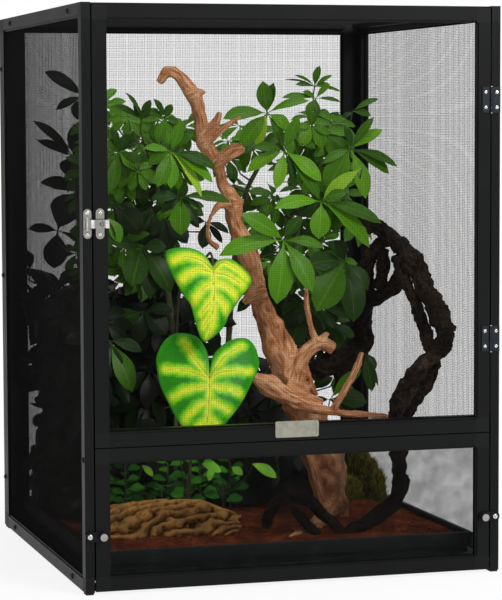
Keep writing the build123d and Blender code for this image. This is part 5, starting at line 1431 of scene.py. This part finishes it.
@dataclass
class GroundCover:
    """Low plants with small bright leaves behind the bark."""

    seed: int = 41
    # x, depth and z of each plant's top, how many leaves it has, and how bright they are
    clumps: tuple[tuple[float, float, float, int, float], ...] = (
        (-150, 262, 92, 10, 0.40), (-118, 276, 88, 10, 0.30), (-72, 262, 94, 10, 0.40),
        (-34, 262, 92, 10, 0.45), (2, 264, 96, 8, 0.35), (-150, 246, 66, 10, 0.30), (-100, 262, 66, 9, 0.25),
        (-128, 232, 80, 9, 0.30), (-84, 244, 70, 8, 0.22), (-56, 238, 82, 8, 0.28), (-14, 236, 76, 7, 0.15))
    # x, depth and z of the tip of each large pale leaf, the way it points from its stalk, and its width
    large: tuple[tuple[float, float, float, float, float, float], ...] = (
        (14, 205, 96, 26, -16, 13), (-8, 212, 92, 10, -8, 10), (-40, 222, 96, 20, -9, 12),
        (-30, 216, 92, -6, -14, 8), (-62, 226, 106, 20, 2, 6), (-128, 220, 104, 12, 8, 7),
        (-110, 218, 98, 10, -12, 8))

    def build(self) -> None:
        """Grow each plant from the soil: a stem, and leaves that spiral up it."""
        rng = random.Random(self.seed)
        stems, leaves = Sheaf(), Sheaf()
        for x, depth, z, count, bright in self.clumps:
            foot, top = spot(x, depth, 28), spot(x, depth, z)
            tube(stems, [(foot.lerp(top, t), (1.4 - 0.7 * t) * MM) for t in (0.0, 0.35, 0.7, 1.0)], 6)
            for number in range(count):
                t = 0.45 + 0.55 * number / (count - 1)
                turn = GOLDEN * number + rng.uniform(-0.3, 0.3)
                way = Vector((math.cos(turn), math.sin(turn) * 0.9 - 0.15, 0.2)).normalized()
                long = rng.uniform(17, 26) * (1.15 - 0.4 * t) * MM
                start = foot.lerp(top, t)
                blade(leaves, start, start + way * long, 0.58 * long, Vector((-0.2, -0.7, 0.9)),
                      bright + rng.uniform(-0.10, 0.20), stalk=0.22, fullest=0.95, steps=6)
        for x, depth, z, right, rise, wide in self.large:
            tip = spot(x + right, depth, z + rise)
            start = spot(x, depth + 8, z)
            blade(leaves, start, tip, wide * MM, Vector((-0.2, -0.8, 0.6)), rng.uniform(0.62, 0.85),
                  stalk=0.05, fullest=1.0)
            low = min(self.clumps, key=lambda clump: abs(clump[0] - x) + abs(clump[1] - depth))
            tube(stems, [(spot(low[0], low[1], 50), 0.9 * MM), (spot(x, depth + 16, z - 10), 0.7 * MM),
                         (start, 0.6 * MM)], 6)
        settle(stems.piece("ground_cover_stems", Surfaces.STEM), "cabinet", "plant_stem", "ground_stems")
        settle(leaves.piece("ground_cover_leaves", Surfaces.GROUND_LEAF), "cabinet", "ground_leaf",
               "ground_cover")


@dataclass
class Moss:
    """Cushions of moss: thin blades that bristle from low mounds."""

    seed: int = 77
    lumps: tuple[tuple[float, float, float, float, float, int], ...] = (
        (164, 326, 30, 25, 30, 900), (184, 352, 30, 15, 62, 620), (-186, 396, 30, 12, 28, 260),
        (194, 297, 30, 11, 44, 420), (192, 318, 30, 14, 58, 520), (190, 338, 30, 15, 66, 560))

    def build(self) -> bpy.types.Object:
        """Cover each mound with blades."""
        rng = random.Random(self.seed)
        sheaf = Sheaf()
        for x, depth, z, wide, tall, blades in self.lumps:
            run = [(spot(x, depth, z + tall * 0.85 * t), wide * 0.8 * math.sqrt(max(0.04, 1 - t * t)) * MM)
                   for t in (0.0, 0.25, 0.5, 0.75, 0.9, 1.0)]
            # the mound under the blades is given tone 0.1, near the shade colour: painted shade inside the
            # cushion
            tube(sheaf, run, 14, rough=0.3, tone=0.1)
            for _ in range(blades):
                rise, turn = rng.random() ** 0.8, rng.uniform(0, math.tau)
                reach = wide * 0.8 * math.sqrt(max(0.0, 1 - rise * rise))
                foot = spot(x + reach * math.cos(turn), depth + reach * math.sin(turn),
                            z + tall * 0.85 * rise)
                out = Vector((math.cos(turn) * (1 - rise * 0.7), math.sin(turn) * (1 - rise * 0.7),
                              0.35 + rise)).normalized()
                out = (out + Vector([rng.uniform(-0.45, 0.45) for _ in range(3)])).normalized()
                self.blade(sheaf, foot, out, rng.uniform(4, 9) * MM, 0.2 + 0.6 * rng.random())
        return settle(sheaf.piece("moss_cushions", Surfaces.MOSS), "cabinet", "moss", "moss")

    def blade(self, sheaf: Sheaf, foot: Vector, out: Vector, long: float, tone: float) -> None:
        """Add one thin three-sided blade."""
        side = out.orthogonal().normalized()
        other = out.cross(side)
        half = 0.45 * MM
        points = [foot + side * half, foot - side * half * 0.5 + other * half,
                  foot - side * half * 0.5 - other * half, foot + out * long]
        # each blade's foot gets 0.6 of its tip's tone: painted shade among the blades
        sheaf.add(points, [(0, 1, 3), (1, 2, 3), (2, 0, 3), (0, 2, 1)], tone=[tone * 0.6] * 3 + [tone],
                  across=[0.5] * 4)


# ---------------------------------------------------------------------------- studio
@dataclass
class Studio:
    """Camera, lamps, pale floor and the white surroundings."""

    camera: Point = (-0.7431, -2.6033, 0.4813)
    yaw: float = math.radians(16.23)
    pitch: float = math.radians(4.24)
    roll: float = math.radians(-0.21)
    lens_mm: float = 145.42
    aim: Point = (0.0, 0.0, 0.3)
    around: float = 0.35  # the level of the light that the surroundings give
    mirrored: float = 0.45  # their level in metal and gloss
    # each lamp's name, place, size in metres and watts
    lamps: tuple[tuple[str, Point, float, float], ...] = (
        ("key", (1.0, -2.1, 1.7), 0.9, 52.0),
        ("fill", (-1.9, -1.5, 0.9), 1.5, 10.0),
        ("top", (0.2, 0.1, 2.2), 1.4, 16.0))
    floor_half: float = 4.0
    floor_low: float = -0.0003
    # from the middle, where the floor starts to fade to white, where it is white, and its share at first
    fade_from: float = 0.26
    fade_to: float = 0.60
    near_white: float = 0.86
    fibre_mm: float = 3.0

    def build(self) -> None:
        """Set everything up."""
        self.place_camera()
        for lamp in self.lamps:
            self.lamp(*lamp)
        self.surround()
        self.floor()
        bpy.context.scene.view_settings.view_transform = "Standard"

    def place_camera(self) -> None:
        """Stand the camera where the photographer stood."""
        ahead = Vector((math.sin(self.yaw) * math.cos(self.pitch), math.cos(self.yaw) * math.cos(self.pitch),
                        -math.sin(self.pitch)))
        level = Vector((math.cos(self.yaw), -math.sin(self.yaw), 0))
        above = level.cross(ahead)
        right = level * math.cos(self.roll) + above * math.sin(self.roll)
        up = above * math.cos(self.roll) - level * math.sin(self.roll)
        data = bpy.data.cameras.new("camera")
        data.lens, data.sensor_width, data.clip_end = self.lens_mm, 36.0, 60.0
        seen = bpy.data.objects.new("camera", data)
        turned = Matrix((right, up, -ahead)).transposed().to_4x4()
        seen.matrix_world = Matrix.Translation(self.camera) @ turned
        bpy.context.scene.collection.objects.link(seen)
        bpy.context.scene.camera = seen

    def lamp(self, name: str, place: Point, size: float, watts: float) -> None:
        """Hang a square soft lamp that looks at the cabinet."""
        data = bpy.data.lights.new(name, "AREA")
        data.energy, data.size = watts, size
        hung = bpy.data.objects.new(name, data)
        hung.location = place
        hung.rotation_mode = "QUATERNION"
        hung.rotation_quaternion = (Vector(self.aim) - Vector(place)).to_track_quat("-Z", "Y")
        bpy.context.scene.collection.objects.link(hung)

    def surround(self) -> None:
        """White for what the camera and mirrors see, and a softer level for the light it gives."""
        world = bpy.data.worlds.new("studio")
        world.use_nodes = True
        bpy.context.scene.world = world
        tree = world.node_tree
        tree.nodes.clear()
        path = add_node(tree, "ShaderNodeLightPath")
        seen = add_node(tree, "ShaderNodeMath", {"operation": "MAXIMUM"},
                        {0: path.outputs["Is Camera Ray"], 1: path.outputs["Is Transmission Ray"]})
        gloss = add_node(tree, "ShaderNodeMapRange", {3: self.around, 4: self.mirrored},
                         {0: path.outputs["Is Glossy Ray"]})
        level = add_node(tree, "ShaderNodeMapRange", {4: 1.0}, {0: seen.outputs[0], 3: gloss.outputs[0]})
        glow = add_node(tree, "ShaderNodeBackground", {"Color": (1.0, 1.0, 1.0, 1.0)},
                        {"Strength": level.outputs[0]})
        add_node(tree, "ShaderNodeOutputWorld", links={"Surface": glow.outputs[0]})

    def floor(self) -> None:
        """A pale floor that takes the shadow and fades to white away from the cabinet."""
        corners = [Vector((x * self.floor_half, y * self.floor_half, self.floor_low))
                   for x, y in ((-1, -1), (1, -1), (1, 1), (-1, 1))]
        mesh = bpy.data.meshes.new("floor")
        mesh.from_pydata(corners, [], [(0, 1, 2, 3)])
        paper = bpy.data.materials.new("seamless_paper")
        paper.use_nodes = True
        tree = paper.node_tree
        tree.nodes.clear()
        here = add_node(tree, "ShaderNodeTexCoord")
        away = add_node(tree, "ShaderNodeVectorMath", {"operation": "LENGTH"}, {0: here.outputs["Object"]})
        fade = add_node(tree, "ShaderNodeMapRange", {1: self.fade_from, 2: self.fade_to,
                                                     3: self.near_white, 4: 1.0}, {0: away.outputs["Value"]})
        path = add_node(tree, "ShaderNodeLightPath")
        seen = add_node(tree, "ShaderNodeMath", {"operation": "MAXIMUM"},
                        {0: path.outputs["Is Camera Ray"], 1: path.outputs["Is Transmission Ray"]})
        dim = add_node(tree, "ShaderNodeMath", {"operation": "MULTIPLY", 1: self.mirrored},
                       {0: path.outputs["Is Glossy Ray"]})
        shown = add_node(tree, "ShaderNodeMath", {"operation": "MAXIMUM"},
                         {0: seen.outputs[0], 1: dim.outputs[0]})
        share = add_node(tree, "ShaderNodeMath", {"operation": "MULTIPLY"},
                         {0: fade.outputs[0], 1: shown.outputs[0]})
        fibre = add_node(tree, "ShaderNodeTexNoise", {"Scale": per_metre(self.fibre_mm)},
                         {"Vector": here.outputs["Object"]})
        tint = add_node(tree, "ShaderNodeMapRange", {3: 0.84, 4: 0.88}, {0: fibre.outputs[0]})
        matt = add_node(tree, "ShaderNodeBsdfDiffuse", links={"Color": tint.outputs[0]})
        white = add_node(tree, "ShaderNodeEmission", {"Color": (1.0, 1.0, 1.0, 1.0)})
        mix = add_node(tree, "ShaderNodeMixShader", links={0: share.outputs[0], 1: matt.outputs[0],
                                                           2: white.outputs[0]})
        add_node(tree, "ShaderNodeOutputMaterial", links={"Surface": mix.outputs[0]})
        mesh.materials.append(paper)
        laid = bpy.data.objects.new("floor", mesh)
        bpy.context.scene.collection.objects.link(laid)


def main() -> None:
    """Build the scene piece by piece."""
    logging.basicConfig(level=logging.INFO, format="%(message)s")
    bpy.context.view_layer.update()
    Studio().build()
    Cabinet().dress()
    # the left screen's wires are drawn thickest, so that panel looks darker: painted shade on the shaded left
    # side, beyond what its low angle of view gives
    for name, body, flat, wire_mm in (
            ("left_screen", "cabinet", 0, 0.30), ("right_screen", "cabinet", 0, 0.24),
            ("rear_screen", "cabinet", 1, 0.18), ("top_screen", "cabinet", 2, 0.18),
            ("upper_door_screen", "upper_door", 1, 0.17)):
        Screen(name, body, flat, wire_mm=wire_mm).build()
    fasteners = Fasteners()
    fasteners.side_heads()
    fasteners.cabinet_heads()
    fasteners.door_heads()
    for part in (Driftwood(), Liana(), CorkBark(), SoilBed(), UmbrellaPlant(), HeartPlant(), GroundCover(),
                 Moss()):
        part.build()


if __name__ == "__main__":
    main()
